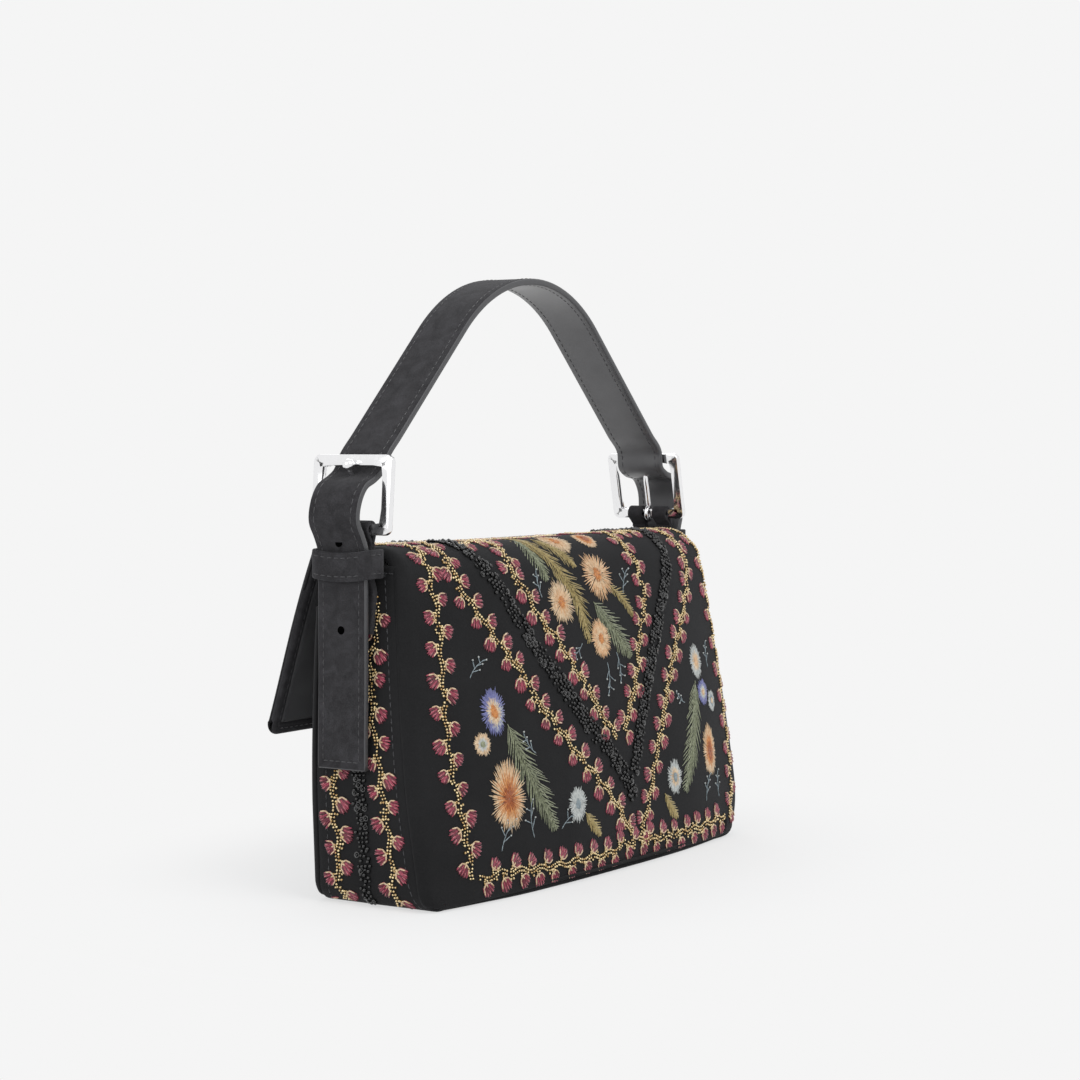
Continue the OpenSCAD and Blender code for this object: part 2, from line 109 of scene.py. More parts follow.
def add_node(tree: Tree, kind: str, inputs: dict | None = None, **settings: object) -> Node:
    """Adds a shader node with its settings and links.

    Args:
        tree: The node tree that gets the node.
        kind: The node's class, without its ShaderNode prefix.
        inputs: Input name or number, and the value or output socket that it gets.
        **settings: Properties of the node.

    Returns:
        The new node.
    """
    node = tree.nodes.new("ShaderNode" + kind)
    for name, value in settings.items():
        setattr(node, name, value)
    fill(tree, node, inputs or {})
    return node


def ramp(tree: Tree, source: Socket, stops: Sequence[tuple[float, str]]) -> Socket:
    """Adds a colour ramp.

    Args:
        tree: The node tree.
        source: The factor.
        stops: Place and sRGB hex colour of each stop.

    Returns:
        The ramp's colour output.
    """
    node = add_node(tree, "ValToRGB", {"Fac": source})
    marks = node.color_ramp.elements
    while len(marks) < len(stops):
        marks.new(0.5)
    for mark, (place, code) in zip(marks, stops):
        mark.position = place
        mark.color = linear(code)
    return node.outputs["Color"]


def smooth(t: float) -> float:
    """Smooth step of t from 0 to 1."""
    t = min(max(t, 0.0), 1.0)
    return t * t * (3 - 2 * t)


def rounded(r: float, gap: float) -> float:
    """Height of a quarter round of radius r at a distance in from its foot."""
    return sqrt(max(0.0, r * r - (r - gap) ** 2))


def toward(turn: float, length: float = 1.0) -> Vector:
    """Flat vector of a length in a direction."""
    return Vector((length * cos(turn), length * sin(turn)))


def add_object(name: str, data: bpy.types.ID) -> Piece:
    """Puts a new object with its data in the scene."""
    made = bpy.data.objects.new(name, data)
    bpy.context.scene.collection.objects.link(made)
    return made


def piece_from(name: str, bm: Mesh, finish: "Finish | None", facing: Triple | None = None,
               sharp: float | None = None) -> Piece:
    """Makes an object from a bmesh in millimetres.

    Args:
        name: The piece's name.
        bm: Its mesh, which is freed.
        finish: The finish that it gets.
        facing: Direction that an open sheet faces; closed shapes face outwards.
        sharp: Angle in degrees past which edges stay sharp.

    Returns:
        The piece, in metres, at the origin.
    """
    bmesh.ops.remove_doubles(bm, verts=bm.verts, dist=0.001)
    bmesh.ops.recalc_face_normals(bm, faces=bm.faces)
    if facing and sum((f.normal * f.calc_area() for f in bm.faces), Vector()).dot(Vector(facing)) < 0:
        bmesh.ops.reverse_faces(bm, faces=bm.faces)
    bmesh.ops.scale(bm, vec=(MM, MM, MM), verts=bm.verts)
    mesh = bpy.data.meshes.new(name)
    bm.to_mesh(mesh)
    bm.free()
    mesh.polygons.foreach_set("use_smooth", [True] * len(mesh.polygons))
    if sharp is not None:
        mesh.set_sharp_from_angle(angle=radians(sharp))
    if finish:
        mesh.materials.append(finish.material())
    return add_object(name, mesh)


def sheet_from(rows: int, columns: int, place: Surface) -> Mesh:
    """Moves a flat grid onto a surface.

    Args:
        rows: Number of faces along the second direction.
        columns: Number of faces along the first direction.
        place: Gives the point in millimetres for two values from 0 to 1.

    Returns:
        The mesh, with a UV map of the two values.
    """
    bm = bmesh.new()
    bmesh.ops.create_grid(bm, x_segments=columns, y_segments=rows, size=0.5)
    flat = {v.index: (v.co.x + 0.5, v.co.y + 0.5) for v in bm.verts}
    layer = bm.loops.layers.uv.new("cloth")
    for face in bm.faces:
        for loop in face.loops:
            loop[layer].uv = flat[loop.vert.index]
    for v in bm.verts:
        v.co = place(*flat[v.index])
    return bm


def frame_at(point: Vector, along: Vector, up: Vector) -> Matrix:
    """Frame with its X axis along a direction and its Z axis near up.

    Args:
        point: The frame's origin.
        along: Direction of the X axis.
        up: Rough direction of the Z axis.

    Returns:
        The matrix of the frame.
    """
    x = along.normalized()
    y = up.cross(x).normalized()
    z = x.cross(y)
    return Matrix(((x.x, y.x, z.x, point.x), (x.y, y.y, z.y, point.y), (x.z, y.z, z.z, point.z), (0, 0, 0, 1)))


def repeated(name: str, shape: Mesh, places: Sequence[Matrix], finish: "Finish") -> Piece:
    """Repeats a small shape many times in one piece.

    Args:
        name: The piece's name.
        shape: The shape, in millimetres, which is freed.
        places: A matrix in millimetres for each copy.
        finish: The finish of the piece.

    Returns:
        The piece, in metres, at the origin.
    """
    bmesh.ops.recalc_face_normals(shape, faces=shape.faces)
    base = bpy.data.meshes.new(name + "_shape")
    shape.to_mesh(base)
    shape.free()
    n, count = len(base.vertices), len(places)
    co = np.empty(n * 3, np.float32)
    loops = np.empty(len(base.loops), np.int32)
    starts = np.empty(len(base.polygons), np.int32)
    base.vertices.foreach_get("co", co)
    base.loops.foreach_get("vertex_index", loops)
    base.polygons.foreach_get("loop_start", starts)
    bpy.data.meshes.remove(base)
    m = np.array([[list(row) for row in p] for p in places], np.float64)
    moved = np.einsum("nij,vj->nvi", m[:, :3, :3], co.reshape(-1, 3).astype(np.float64)) + m[:, None, :3, 3]
    copies = np.arange(count)[:, None]
    mesh = bpy.data.meshes.new(name)
    mesh.vertices.add(n * count)
    mesh.vertices.foreach_set("co", (moved * MM).astype(np.float32).ravel())
    mesh.loops.add(len(loops) * count)
    mesh.loops.foreach_set("vertex_index", (loops + copies * n).astype(np.int32).ravel())
    mesh.polygons.add(len(starts) * count)
    mesh.polygons.foreach_set("loop_start", (starts + copies * len(loops)).astype(np.int32).ravel())
    mesh.update(calc_edges=True)
    mesh.polygons.foreach_set("use_smooth", [True] * len(mesh.polygons))
    mesh.validate()
    mesh.materials.append(finish.material())
    return add_object(name, mesh)


def thicken(piece: Piece, depth: float) -> None:
    """Gives a sheet a thickness in millimetres, inwards from its face."""
    wall = piece.modifiers.new("wall", "SOLIDIFY")
    wall.thickness = depth * MM
    wall.offset = -1.0
    wall.use_even_offset = False


def stitch_shape() -> Mesh:
    """Plump stitch of length, width and height 1 along X."""
    bm = bmesh.new()
    bmesh.ops.create_uvsphere(bm, u_segments=5, v_segments=4, radius=0.5, matrix=Matrix.Rotation(pi / 2, 4, "Y"))
    return bm


def stitch_at(a: Vector, b: Vector, up: Vector, width: float, height: float) -> Matrix:
    """Matrix that lays a unit stitch from a to b.

    Args:
        a: One end, in millimetres.
        b: The other end.
        up: The cloth's normal.
        width: Width of the stitch.
        height: Height of the stitch.

    Returns:
        The matrix.
    """
    return frame_at((a + b) / 2, b - a, up) @ Matrix.Diagonal(((b - a).length, width, height, 1))


def curve(points: Sequence[Vector], steps: int = 8) -> list[Vector]:
    """Smooth curve through points, by chord length.

    Args:
        points: The points.
        steps: Pieces from each point to the next.

    Returns:
        Points of the curve.
    """

    def tangent(i: int) -> Vector:
        """Direction of the curve at point i."""
        a = points[1] - points[0] if i == 0 else points[i] - points[i - 1]
        b = a if i == len(points) - 1 else points[i + 1] - points[i]
        return (a / a.length * b.length + b / b.length * a.length) / (a.length + b.length)

    line = []
    for i, (p, q) in enumerate(zip(points, points[1:])):
        size = (q - p).length
        d0, d1 = size * tangent(i), size * tangent(i + 1)
        for k in range(steps):
            t = k / steps
            line.append((2 * t ** 3 - 3 * t * t + 1) * p + (t ** 3 - 2 * t * t + t) * d0
                        + (3 * t * t - 2 * t ** 3) * q + (t ** 3 - t * t) * d1)
    return line + [points[-1]]


@dataclass
class Track:
    """Line through points, measured by length."""

    points: Sequence[Vector | Pair]

    def __post_init__(self) -> None:
        """Measures the line."""
        self.xy = np.array([tuple(p) for p in self.points])
        self.reach = np.concatenate(([0.0], np.cumsum(np.linalg.norm(np.diff(self.xy, axis=0), axis=1))))
        self.length = float(self.reach[-1])

    def spot(self, d: float) -> list[float]:
        """Coordinates at a distance along the line."""
        return [float(np.interp(d, self.reach, column)) for column in self.xy.T]


def stepped(line: Sequence[Vector], pitch: float, length: float) -> list[tuple[Vector, Vector]]:
    """Cuts a line into stitches.

    Args:
        line: Points of the line.
        pitch: Distance from stitch to stitch.
        length: Length of a stitch.

    Returns:
        Both ends of every stitch.
    """
    track = Track(line)
    count = max(1, int(track.length / pitch))
    mids = [(i + 0.5) * track.length / count for i in range(count)]
    return [tuple(Vector(track.spot(mid + side * length / 2)) for side in (-1, 1)) for mid in mids]


def beside(line: Sequence[Vector], k: int, out: float, ring: bool = False) -> Vector:
    """Point beside a flat line.

    Args:
        line: Points of the line.
        k: Number of the point that it lies beside.
        out: Distance to the right.
        ring: Whether the line closes.

    Returns:
        The point.
    """
    n = len(line)
    ahead, behind = ((k + 1) % n, (k - 1) % n) if ring else (min(k + 1, n - 1), max(k - 1, 0))
    d = (line[ahead] - line[behind]).normalized()
    return line[k % n] + Vector((d.y, -d.x)) * out


def band_section(half_w: float, low: float, high: float, edge: float, columns: int = 10) -> list[Pair]:
    """Closed outline of a leather band with rounded edges.

    Args:
        half_w: Half width.
        low: Lower face.
        high: Upper face.
        edge: Radius of the long edges.
        columns: Faces across.

    Returns:
        Places across and out, all round.
    """
    run = half_w - edge
    half = [(run - 2 * run * i / columns, high) for i in range(columns + 1)]
    half += [(-run - edge * sin(q), high - edge + edge * cos(q)) for q in map(radians, (30, 60, 90))]
    half += [(-run - edge * cos(q), low + edge - edge * sin(q)) for q in map(radians, (0, 30, 60))]
    return half + [(-x, low + high - y) for x, y in half]


def paint_line(face: float, bulge: float, back: float) -> list[Pair]:
    """Outline of the paint over a cut edge of the strap's two layers.

    Args:
        face: Where the paint's round starts.
        bulge: How far it stands out there.
        back: Where it ends inside the leather.

    Returns:
        Places across and out, all round.
    """
    front = [(face + bulge * cos(q), 0.15 + 1.3 * sin(q)) for q in np.linspace(-pi / 2, pi / 2, 7)]
    return front + [(back, 1.45), (back, -1.15)]


def swept(section: Sequence[Pair], stations: Sequence[float], at: Sweep) -> Mesh:
    """Sweeps a closed outline along stations and closes its ends, if it has any.

    Args:
        section: Places across and out.
        stations: Places along.
        at: Gives the point for along, across and out.

    Returns:
        The mesh.
    """
    ring, last = [*section, section[0]], len(stations) - 1
    bm = sheet_from(last, len(ring) - 1,
                    lambda u, v: at(stations[round(v * last)], *ring[round(u * (len(ring) - 1))]))
    bmesh.ops.remove_doubles(bm, verts=bm.verts, dist=0.0005)
    bmesh.ops.holes_fill(bm, edges=[e for e in bm.edges if e.is_boundary], sides=0)
    return bm


def hole_shape() -> Mesh:
    """Disc of painted shade that stands for a punched hole, 3.4 mm across."""
    bm = bmesh.new()
    bmesh.ops.create_cone(bm, cap_ends=True, segments=28, radius1=1.7, radius2=1.7, depth=0.16)
    return bm


def bead_shape() -> Mesh:
    """Round bead of diameter 1."""
    bm = bmesh.new()
    bmesh.ops.create_icosphere(bm, subdivisions=1, radius=0.5)
    return bm


def sequin_shape() -> Mesh:
    """Cupped ring of radius 1, spun from a thin slanted section."""
    bm = bmesh.new()
    section = bmesh.ops.create_circle(bm, cap_ends=False, segments=4, radius=1)["verts"]
    bmesh.ops.scale(bm, vec=(0.34, 0.07, 1), verts=section)
    bmesh.ops.rotate(bm, cent=(0, 0, 0), matrix=Matrix.Rotation(pi / 2, 3, "X"), verts=section)
    bmesh.ops.rotate(bm, cent=(0, 0, 0), matrix=Matrix.Rotation(-0.45, 3, "Y"), verts=section)
    bmesh.ops.translate(bm, vec=(0.68, 0, 0.05), verts=section)
    bmesh.ops.spin(bm, geom=list(bm.verts) + list(bm.edges), cent=(0, 0, 0), axis=(0, 0, 1), angle=2 * pi, steps=9,
                   use_merge=True)
    return bm


# ------------------------------------------------------------------- finishes


class Body(Enum):
    """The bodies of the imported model."""

    BAG = "bag"
    FLAP = "flap"
    HANDLE = "handle"
    KEEPER_NEAR = "keeper_near"
    KEEPER_FAR = "keeper_far"
    TAIL_NEAR = "tail_near"
    TAIL_FAR = "tail_far"


@dataclass(frozen=True)
class Finish:
    """A surface finish: what it is made of and how its nodes show that."""

    name: str
    color: str

    def material(self) -> bpy.types.Material:
        """Returns the finish's material, which is built once."""
        found = bpy.data.materials.get(self.name)
        if found:
            return found
        made = bpy.data.materials.new(self.name)
        made.use_nodes = True
        made.diffuse_color = linear(self.color)
        tree = made.node_tree
        fill(tree, tree.nodes["Principled BSDF"], {"Base Color": linear(self.color)} | self.dress(tree))
        return made

    def dress(self, tree: Tree) -> dict:
        """Adds the finish's nodes.

        Args:
            tree: The material's tree.

        Returns:
            What its shader's inputs get.
        """
        raise NotImplementedError

    @staticmethod
    def spot(tree: Tree, scale: Triple = (1, 1, 1)) -> Socket:
        """Object coordinates in millimetres, stretched by scale."""
        source = add_node(tree, "TexCoord").outputs["Object"]
        return add_node(tree, "Mapping", {"Vector": source, "Scale": tuple(1000 * s for s in scale)}).outputs["Vector"]


@dataclass(frozen=True)
class BrushedCloth(Finish):
    """Brushed cotton cloth, woven and napped: matt near-black, soft edge light, faint thread rows."""

    thread: float = 0.42
    deep: str = "#151516"

    def dress(self, tree: Tree) -> dict:
        """Weave of two thread directions under a short nap."""
        place = self.spot(tree)
        cloud = add_node(tree, "TexNoise", {"Vector": place, "Scale": 0.035, "Detail": 4.0, "Roughness": 0.6})
        nap = add_node(tree, "TexNoise", {"Vector": place, "Scale": 1.6, "Detail": 3.0, "Roughness": 0.7})
        wave = {"Vector": place, "Scale": WAVE / self.thread, "Distortion": 1.2, "Detail": 1.0}
        rows, ends = (add_node(tree, "TexWave", wave, wave_type="BANDS", bands_direction=way)
                      for way in ("Z", "DIAGONAL"))
        weave = add_node(tree, "Math", {0: rows.outputs["Fac"], 1: ends.outputs["Fac"]}, operation="MULTIPLY")
        mixed = add_node(tree, "Math", {0: cloud.outputs["Fac"], 1: nap.outputs["Fac"]}, operation="ADD")
        tone = add_node(tree, "MapRange", {"Value": mixed.outputs[0], 1: 0.6, 2: 1.4})
        high = add_node(tree, "Math", {0: weave.outputs[0], 1: nap.outputs["Fac"]}, operation="ADD")
        bump = add_node(tree, "Bump", {"Height": high.outputs[0], "Distance": 0.00012, "Strength": 0.55})
        return {
            "Base Color": ramp(tree, tone.outputs[0], [(0.0, self.deep), (1.0, self.color)]),
            "Normal": bump.outputs["Normal"], "Roughness": 0.92, "Specular IOR Level": 0.25, "Sheen Weight": 0.22,
            "Sheen Roughness": 0.45, "Sheen Tint": linear("#8a8a8e")}


@dataclass(frozen=True)
class LiningTwill(Finish):
    """Fine lining twill: close diagonal ribs that give a dull shine."""

    rib: float = 0.6

    def dress(self, tree: Tree) -> dict:
        """Diagonal ribs at twill spacing, drawn a little coarse so that they show."""
        place = self.spot(tree)
        ribs = add_node(tree, "TexWave", {"Vector": place, "Scale": WAVE / self.rib, "Distortion": 0.4},
                        wave_type="BANDS", bands_direction="DIAGONAL")
        cloud = add_node(tree, "TexNoise", {"Vector": place, "Scale": 0.05, "Detail": 3.0})
        bump = add_node(tree, "Bump", {"Height": ribs.outputs["Fac"], "Distance": 0.0001, "Strength": 0.5})
        return {
            "Base Color": ramp(tree, cloud.outputs["Fac"], [(0.25, "#434345"), (0.75, self.color)]),
            "Normal": bump.outputs["Normal"], "Roughness": 0.62, "Sheen Weight": 0.15}


@dataclass(frozen=True)
class Suede(Finish):
    """Suede split leather, buffed: a mottled nap that brushes lighter and darker, with no shine."""

    deep: str = "#252426"
    light: str = "#434245"

    def dress(self, tree: Tree) -> dict:
        """Cloudy nap marks over fine fibre grain."""
        place = self.spot(tree)
        marks = add_node(tree, "TexNoise", {"Vector": place, "Scale": 0.16, "Detail": 5.0, "Roughness": 0.62,
                                            "Distortion": 0.6})
        fibre = add_node(tree, "TexNoise", {"Vector": place, "Scale": 2.4, "Detail": 2.0, "Roughness": 0.8})
        both = add_node(tree, "Math", {0: marks.outputs["Fac"], 1: fibre.outputs["Fac"]}, operation="ADD")
        tone = add_node(tree, "MapRange", {"Value": both.outputs[0], 1: 0.72, 2: 1.3})
        bump = add_node(tree, "Bump", {"Height": fibre.outputs["Fac"], "Distance": 0.00022, "Strength": 0.6})
        return {
            "Base Color": ramp(tree, tone.outputs[0], [(0.0, self.deep), (0.5, self.color), (1.0, self.light)]),
            "Normal": bump.outputs["Normal"], "Roughness": 0.95, "Specular IOR Level": 0.2, "Sheen Weight": 0.3,
            "Sheen Roughness": 0.5, "Sheen Tint": linear("#98989a")}


@dataclass(frozen=True)
class SmoothLeather(Finish):
    """Smooth calf leather, plated flat: fine pores and a soft sheen."""

    def dress(self, tree: Tree) -> dict:
        """Pore grain of about a quarter of a millimetre, drawn at half a millimetre."""
        place = self.spot(tree)
        pores = add_node(tree, "TexVoronoi", {"Vector": place, "Scale": 1.9}, feature="DISTANCE_TO_EDGE")
        cloud = add_node(tree, "TexNoise", {"Vector": place, "Scale": 0.09, "Detail": 4.0})
        bump = add_node(tree, "Bump", {"Height": pores.outputs["Distance"], "Distance": 0.00006, "Strength": 0.5})
        return {
            "Base Color": ramp(tree, cloud.outputs["Fac"], [(0.3, "#4a4a4c"), (0.7, self.color)]),
            "Normal": bump.outputs["Normal"], "Roughness": 0.42, "Coat Weight": 0.6, "Coat Roughness": 0.32}


@dataclass(frozen=True)
class EdgePaint(Finish):
    """Edge paint on cut leather: a smooth, slightly glossy rounded line."""

    def dress(self, tree: Tree) -> dict:
        """Slightly uneven film."""
        film = add_node(tree, "TexNoise", {"Vector": self.spot(tree), "Scale": 0.5, "Detail": 2.0})
        bump = add_node(tree, "Bump", {"Height": film.outputs["Fac"], "Distance": 0.0001, "Strength": 0.4})
        return {"Normal": bump.outputs["Normal"], "Roughness": 0.42}


@dataclass(frozen=True)
class SilverPlate(Finish):
    """Polished nickel plate on die-cast zinc: a mirror with faint wipe marks."""

    rough: float = 0.07

    def dress(self, tree: Tree) -> dict:
        """Roughness that varies with handling marks."""
        marks = add_node(tree, "TexNoise", {"Vector": self.spot(tree, (1, 1, 0.25)), "Scale": 0.8, "Detail": 4.0})
        rough = add_node(tree, "MapRange", {"Value": marks.outputs["Fac"], 1: 0.3, 2: 0.75, 3: self.rough,
                                            4: self.rough + 0.1})
        return {"Roughness": rough.outputs[0], "Metallic": 1.0}


@dataclass(frozen=True)
class Floss(Finish):
    """Stranded rayon floss: dyed thread whose plies catch the light unevenly."""

    deep: str = "#000000"
    sheen: float = 0.35

    def dress(self, tree: Tree) -> dict:
        """Tone that changes from stitch to stitch, about every millimetre."""
        dye = add_node(tree, "TexNoise", {"Vector": self.spot(tree), "Scale": 0.9, "Detail": 2.0, "Roughness": 0.6})
        return {
            "Base Color": ramp(tree, dye.outputs["Fac"], [(0.32, self.deep), (0.66, self.color)]),
            "Roughness": 0.5, "Sheen Weight": self.sheen, "Sheen Roughness": 0.4}


@dataclass(frozen=True)
class GlassBead(Finish):
    """Seed bead of silver-lined glass: bright point highlights on a warm tint."""

    deep: str = "#8a5a20"
    metal: float = 0.55
    gloss: float = 1.0

    def dress(self, tree: Tree) -> dict:
        """Tint that differs from bead to bead, with the silver lining read as metal."""
        lot = add_node(tree, "TexNoise", {"Vector": self.spot(tree), "Scale": 0.7, "Detail": 1.0})
        return {
            "Base Color": ramp(tree, lot.outputs["Fac"], [(0.38, self.deep), (0.58, self.color)]),
            "Metallic": self.metal, "Roughness": 0.22, "Coat Weight": self.gloss, "Coat Roughness": 0.05}


@dataclass(frozen=True)
class Sequin(Finish):
    """Punched polyester sequin: thin, black and glossy."""

    def dress(self, tree: Tree) -> dict:
        """Clear gloss over a black film."""
        return {"Roughness": 0.12, "Coat Weight": 0.8, "Coat Roughness": 0.06}


@dataclass(frozen=True)
class HoleShade(Finish):
    """Painted shade in a punched hole: a black disc without any shine stands for the dark seen through it."""

    def dress(self, tree: Tree) -> dict:
        """Takes the shine away."""
        return {"Roughness": 1.0, "Specular IOR Level": 0.0}


CLOTH = BrushedCloth("brushed_black_cotton", "#232324")
GUSSET_CLOTH = BrushedCloth("brushed_black_cotton_gusset", "#242425", deep="#161617")
TWILL = LiningTwill("black_lining_twill", "#59595b")
SUEDE = Suede("charcoal_suede_nap", "#343335")
CALF = SmoothLeather("dark_grey_calf", "#555557")
EDGE = EdgePaint("grey_edge_paint", "#4a4a4c")
PLATE = SilverPlate("polished_nickel_plate", "#f3f3f4")
SNAP = SilverPlate("satin_nickel_snap", "#a9aaac", rough=0.3)
# painted shade: near-black discs stand in for the shade seen through the punched holes
HOLE_SHADE = HoleShade("painted_hole_shade", "#040404")
BLACK_THREAD = Floss("black_sewing_thread", "#3a3a3e", "#232326", sheen=0.5)
GREY_THREAD = Floss("charcoal_sewing_thread", "#424144", "#2c2b2d", sheen=0.3)

ROSE = Floss("rose_rayon_floss", "#b44a60", "#8b3045")
ROSE_DEEP = Floss("deep_rose_floss", "#7c2a3b", "#571b29")
ROSE_PALE = Floss("pale_rose_floss", "#cf8088", "#ad5766")
CREAM = Floss("cream_floss", "#eed7b6", "#cba67c")
PEACH = Floss("peach_floss", "#eccaa0", "#d5a070")
ORANGE = Floss("orange_floss", "#e09a55", "#b86a2c")
ORANGE_DEEP = Floss("deep_orange_floss", "#b9652a", "#8a431a")
SAGE = Floss("sage_floss", "#a4a98c", "#6f7557")
OLIVE = Floss("olive_gold_floss", "#c3b078", "#96824a")
GREY_BLUE = Floss("grey_blue_floss", "#9aa8ae", "#6f7d84")
VIOLET = Floss("violet_blue_floss", "#8689bd", "#5f6296")
PALE = Floss("pale_grey_floss", "#d3d6d3", "#a9aeac")
GOLD_BEAD = GlassBead("gold_seed_beads", "#efd9a4", deep="#b08a4c")
BLACK_BEAD = GlassBead("black_seed_beads", "#060607", deep="#030304", metal=0.0, gloss=0.35)
BLACK_SEQUIN = Sequin("black_cupped_sequins", "#101012")


# --------------------------------------------------------------- the bag's form


class Parts(NamedTuple):
    """How the cover divides in one section: the roll, and b where each part of the cloth starts."""

    r: float
    y: float
    z: float
    roll: float
    top: float
    fold: float
    tilt: float


@dataclass
class Cover:
    """The embroidered cloth that runs up the back, over the top and down the flap.

    A place on it is (a, b): a along the bag from its middle, b up from the base seam, round the roll, forward over
    the top, round the fold and down the flap, in millimetres on the cloth. Pairs hold the far and the near end.
    """

    half_l: float = 132.5
    height: float = 150.0
    half_d: float = 30.0
    slope: float = 0.16
    swell: float = 12.0
    foot_r: float = 2.4
    corners: Pair = (29.0, 9.0)
    ends: Pair = (8.0, 4.0)
    roll_r: float = 22.0
    roll_fall: float = 8.0
    top_fall: float = 4.0
    end_in: float = 11.0
    end_from: float = 40.0
    bulge: float = 3.1
    tuck: float = 2.5
    sag: float = 2.4
    fold_y: float = -38.4
    fold_z: float = 143.99
    fold_r: float = 2.1
    flap_angle: float = 13.0
    flap_drop: float = 80.0
    flap_bow: float = 2.0
    flap_curl: float = 2.4
    flap_half: float = 119.8
    flap_flare: float = 7.0
    flap_corner: float = 6.0
    split: float = 5.4
    merge: float = 12.0

    def __post_init__(self) -> None:
        """Works out the angles and lengths that do not change along the bag."""
        self.lean = atan(self.slope)
        self.foot_len = self.foot_r * (pi / 2 + self.lean)
        self.foot_top = self.foot_r * (1 + sin(self.lean))
        self.foot_in = self.foot_top / cos(self.lean)
        self.fold_len = self.fold_r * radians(90 - self.flap_angle - 6)

    def swell_at(self, x: float) -> float:
        """Distance of the back plane from the middle at z 0."""
        return self.half_d + self.swell * (1 - min(abs(x) / self.half_l, 1) ** 3)

    def end_r(self, x: float) -> float:
        """Radius of the padded end edge on the side of x."""
        return self.ends[int(x > 0)]

    def parts(self, x: float) -> Parts:
        """Works out how the section at x divides.

        Args:
            x: Distance from the middle, in millimetres.

        Returns:
            The section's roll, and the path lengths at its divisions.
        """
        part = min(abs(x) / self.half_l, 1)
        r = self.roll_r - self.roll_fall * part ** 4
        z = self.height - self.top_fall * part ** 6 - r
        y = self.swell_at(x) - (z * sin(self.lean) + r) / cos(self.lean)
        roll = self.foot_len + (z + r * sin(self.lean) - self.foot_top) / cos(self.lean)
        dy, dz = y - self.fold_y, z - self.fold_z
        apart = hypot(dy, dz)
        tilt = atan2(dz, dy) + asin((r - self.fold_r) / apart)
        top = roll + r * (pi / 2 + tilt - self.lean)
        return Parts(r, y, z, roll, top, top + sqrt(apart ** 2 - (r - self.fold_r) ** 2), tilt)

    def flap_b(self, a: float, d: float) -> float:
        """b at a distance down the flap from its fold."""
        return self.parts(a).fold + self.fold_len + d

    def total(self, x: float) -> float:
        """b at the lower edge of the flap."""
        return self.flap_b(x, self.flap_drop)

    def top_end(self, x: float) -> float:
        """b where the back's cloth ends and the flap's begins."""
        return self.parts(x).fold - self.split

    def wall(self, out: float, b: float) -> Quad:
        """Point and normal of a panel's round foot and plain face.

        Args:
            out: Distance of the face from the middle at z 0.
            b: Distance up the cloth from the base seam.

        Returns:
            y, z and the normal's y and z.
        """
        if b < self.foot_len:
            turn = b / self.foot_r - pi / 2
            return out - self.foot_in + self.foot_r * cos(turn), self.foot_r * (1 + sin(turn)), cos(turn), sin(turn)
        z = self.foot_top + (b - self.foot_len) * cos(self.lean)
        return out - self.slope * z, z, cos(self.lean), sin(self.lean)

    def section(self, x: float, b: float) -> Quad:
        """Point and normal of the cloth in the section at x.

        Args:
            x: Place along the bag.
            b: Distance up the cloth from the base seam.

        Returns:
            y, z and the normal's y and z.
        """
        part = self.parts(x)
        if b < part.roll:
            return self.wall(self.swell_at(x), b)
        if b < part.top:
            turn = self.lean + (b - part.roll) / part.r
            return part.y + part.r * cos(turn), part.z + part.r * sin(turn), cos(turn), sin(turn)
        if b < part.fold:
            ny, nz, on = -sin(part.tilt), cos(part.tilt), b - part.top
            return part.y + part.r * ny - on * nz, part.z + part.r * nz + on * ny, ny, nz
        d = b - part.fold
        if d < self.fold_len:
            start, end = pi / 2 + part.tilt, radians(180 - self.flap_angle)
            turn = start + (end - start) * d / self.fold_len
            return self.fold_y + self.fold_r * cos(turn), self.fold_z + self.fold_r * sin(turn), cos(turn), sin(turn)
        d -= self.fold_len
        share = d / self.flap_drop
        out = self.fold_r + self.flap_bow * 4 * share * (1 - share) + self.flap_curl * share ** 4
        ny, nz = -cos(radians(self.flap_angle)), sin(radians(self.flap_angle))
        return self.fold_y - d * nz + out * ny, self.fold_z + d * ny + out * nz, ny, nz

    def end_x(self, z: float, side: float) -> float:
        """Half length of the body at height z on one side, with its round lower corner."""
        r = self.corners[int(side > 0)]
        if z < r:
            return self.half_l - r + rounded(r, z)
        return self.half_l - self.end_in * max(0.0, (z - self.end_from) / (self.height - self.end_from)) ** 1.5

    def half(self, a: float, b: float) -> float:
        """Half length of the cloth at b, on the side of a."""
        fold = self.parts(a).fold
        d = b - fold
        if d < 0:
            wide = self.end_x(self.section(a, b)[1], a)
            return wide + (self.flap_half - wide) * smooth((d + self.merge) / self.merge)
        wide = self.flap_half + self.flap_flare * d / (self.fold_len + self.flap_drop)
        left, r = self.fold_len + self.flap_drop - d, self.flap_corner
        return wide if left > r else wide + rounded(r, left) - r

    def edge_gap(self, a: float, b: float) -> float:
        """Distance of a place on the cloth from its cut edge."""
        r = self.flap_corner
        left = self.total(a) - b
        wide = self.flap_half + self.flap_flare
        if left > self.flap_drop:
            return self.half(a, b) - abs(a)
        if left < r and abs(a) > wide - r:
            return r - hypot(abs(a) - wide + r, r - left)
        return min(wide - self.flap_flare * left / self.flap_drop - abs(a), left)

    def edge(self, a: float, b: float) -> Pair:
        """Radius of the round edge beside a place, and how far in the place lies."""
        near_fold = smooth((b - self.parts(a).fold + self.merge) / self.merge)
        return self.end_r(a) + (self.fold_r - self.end_r(a)) * near_fold, self.edge_gap(a, b)

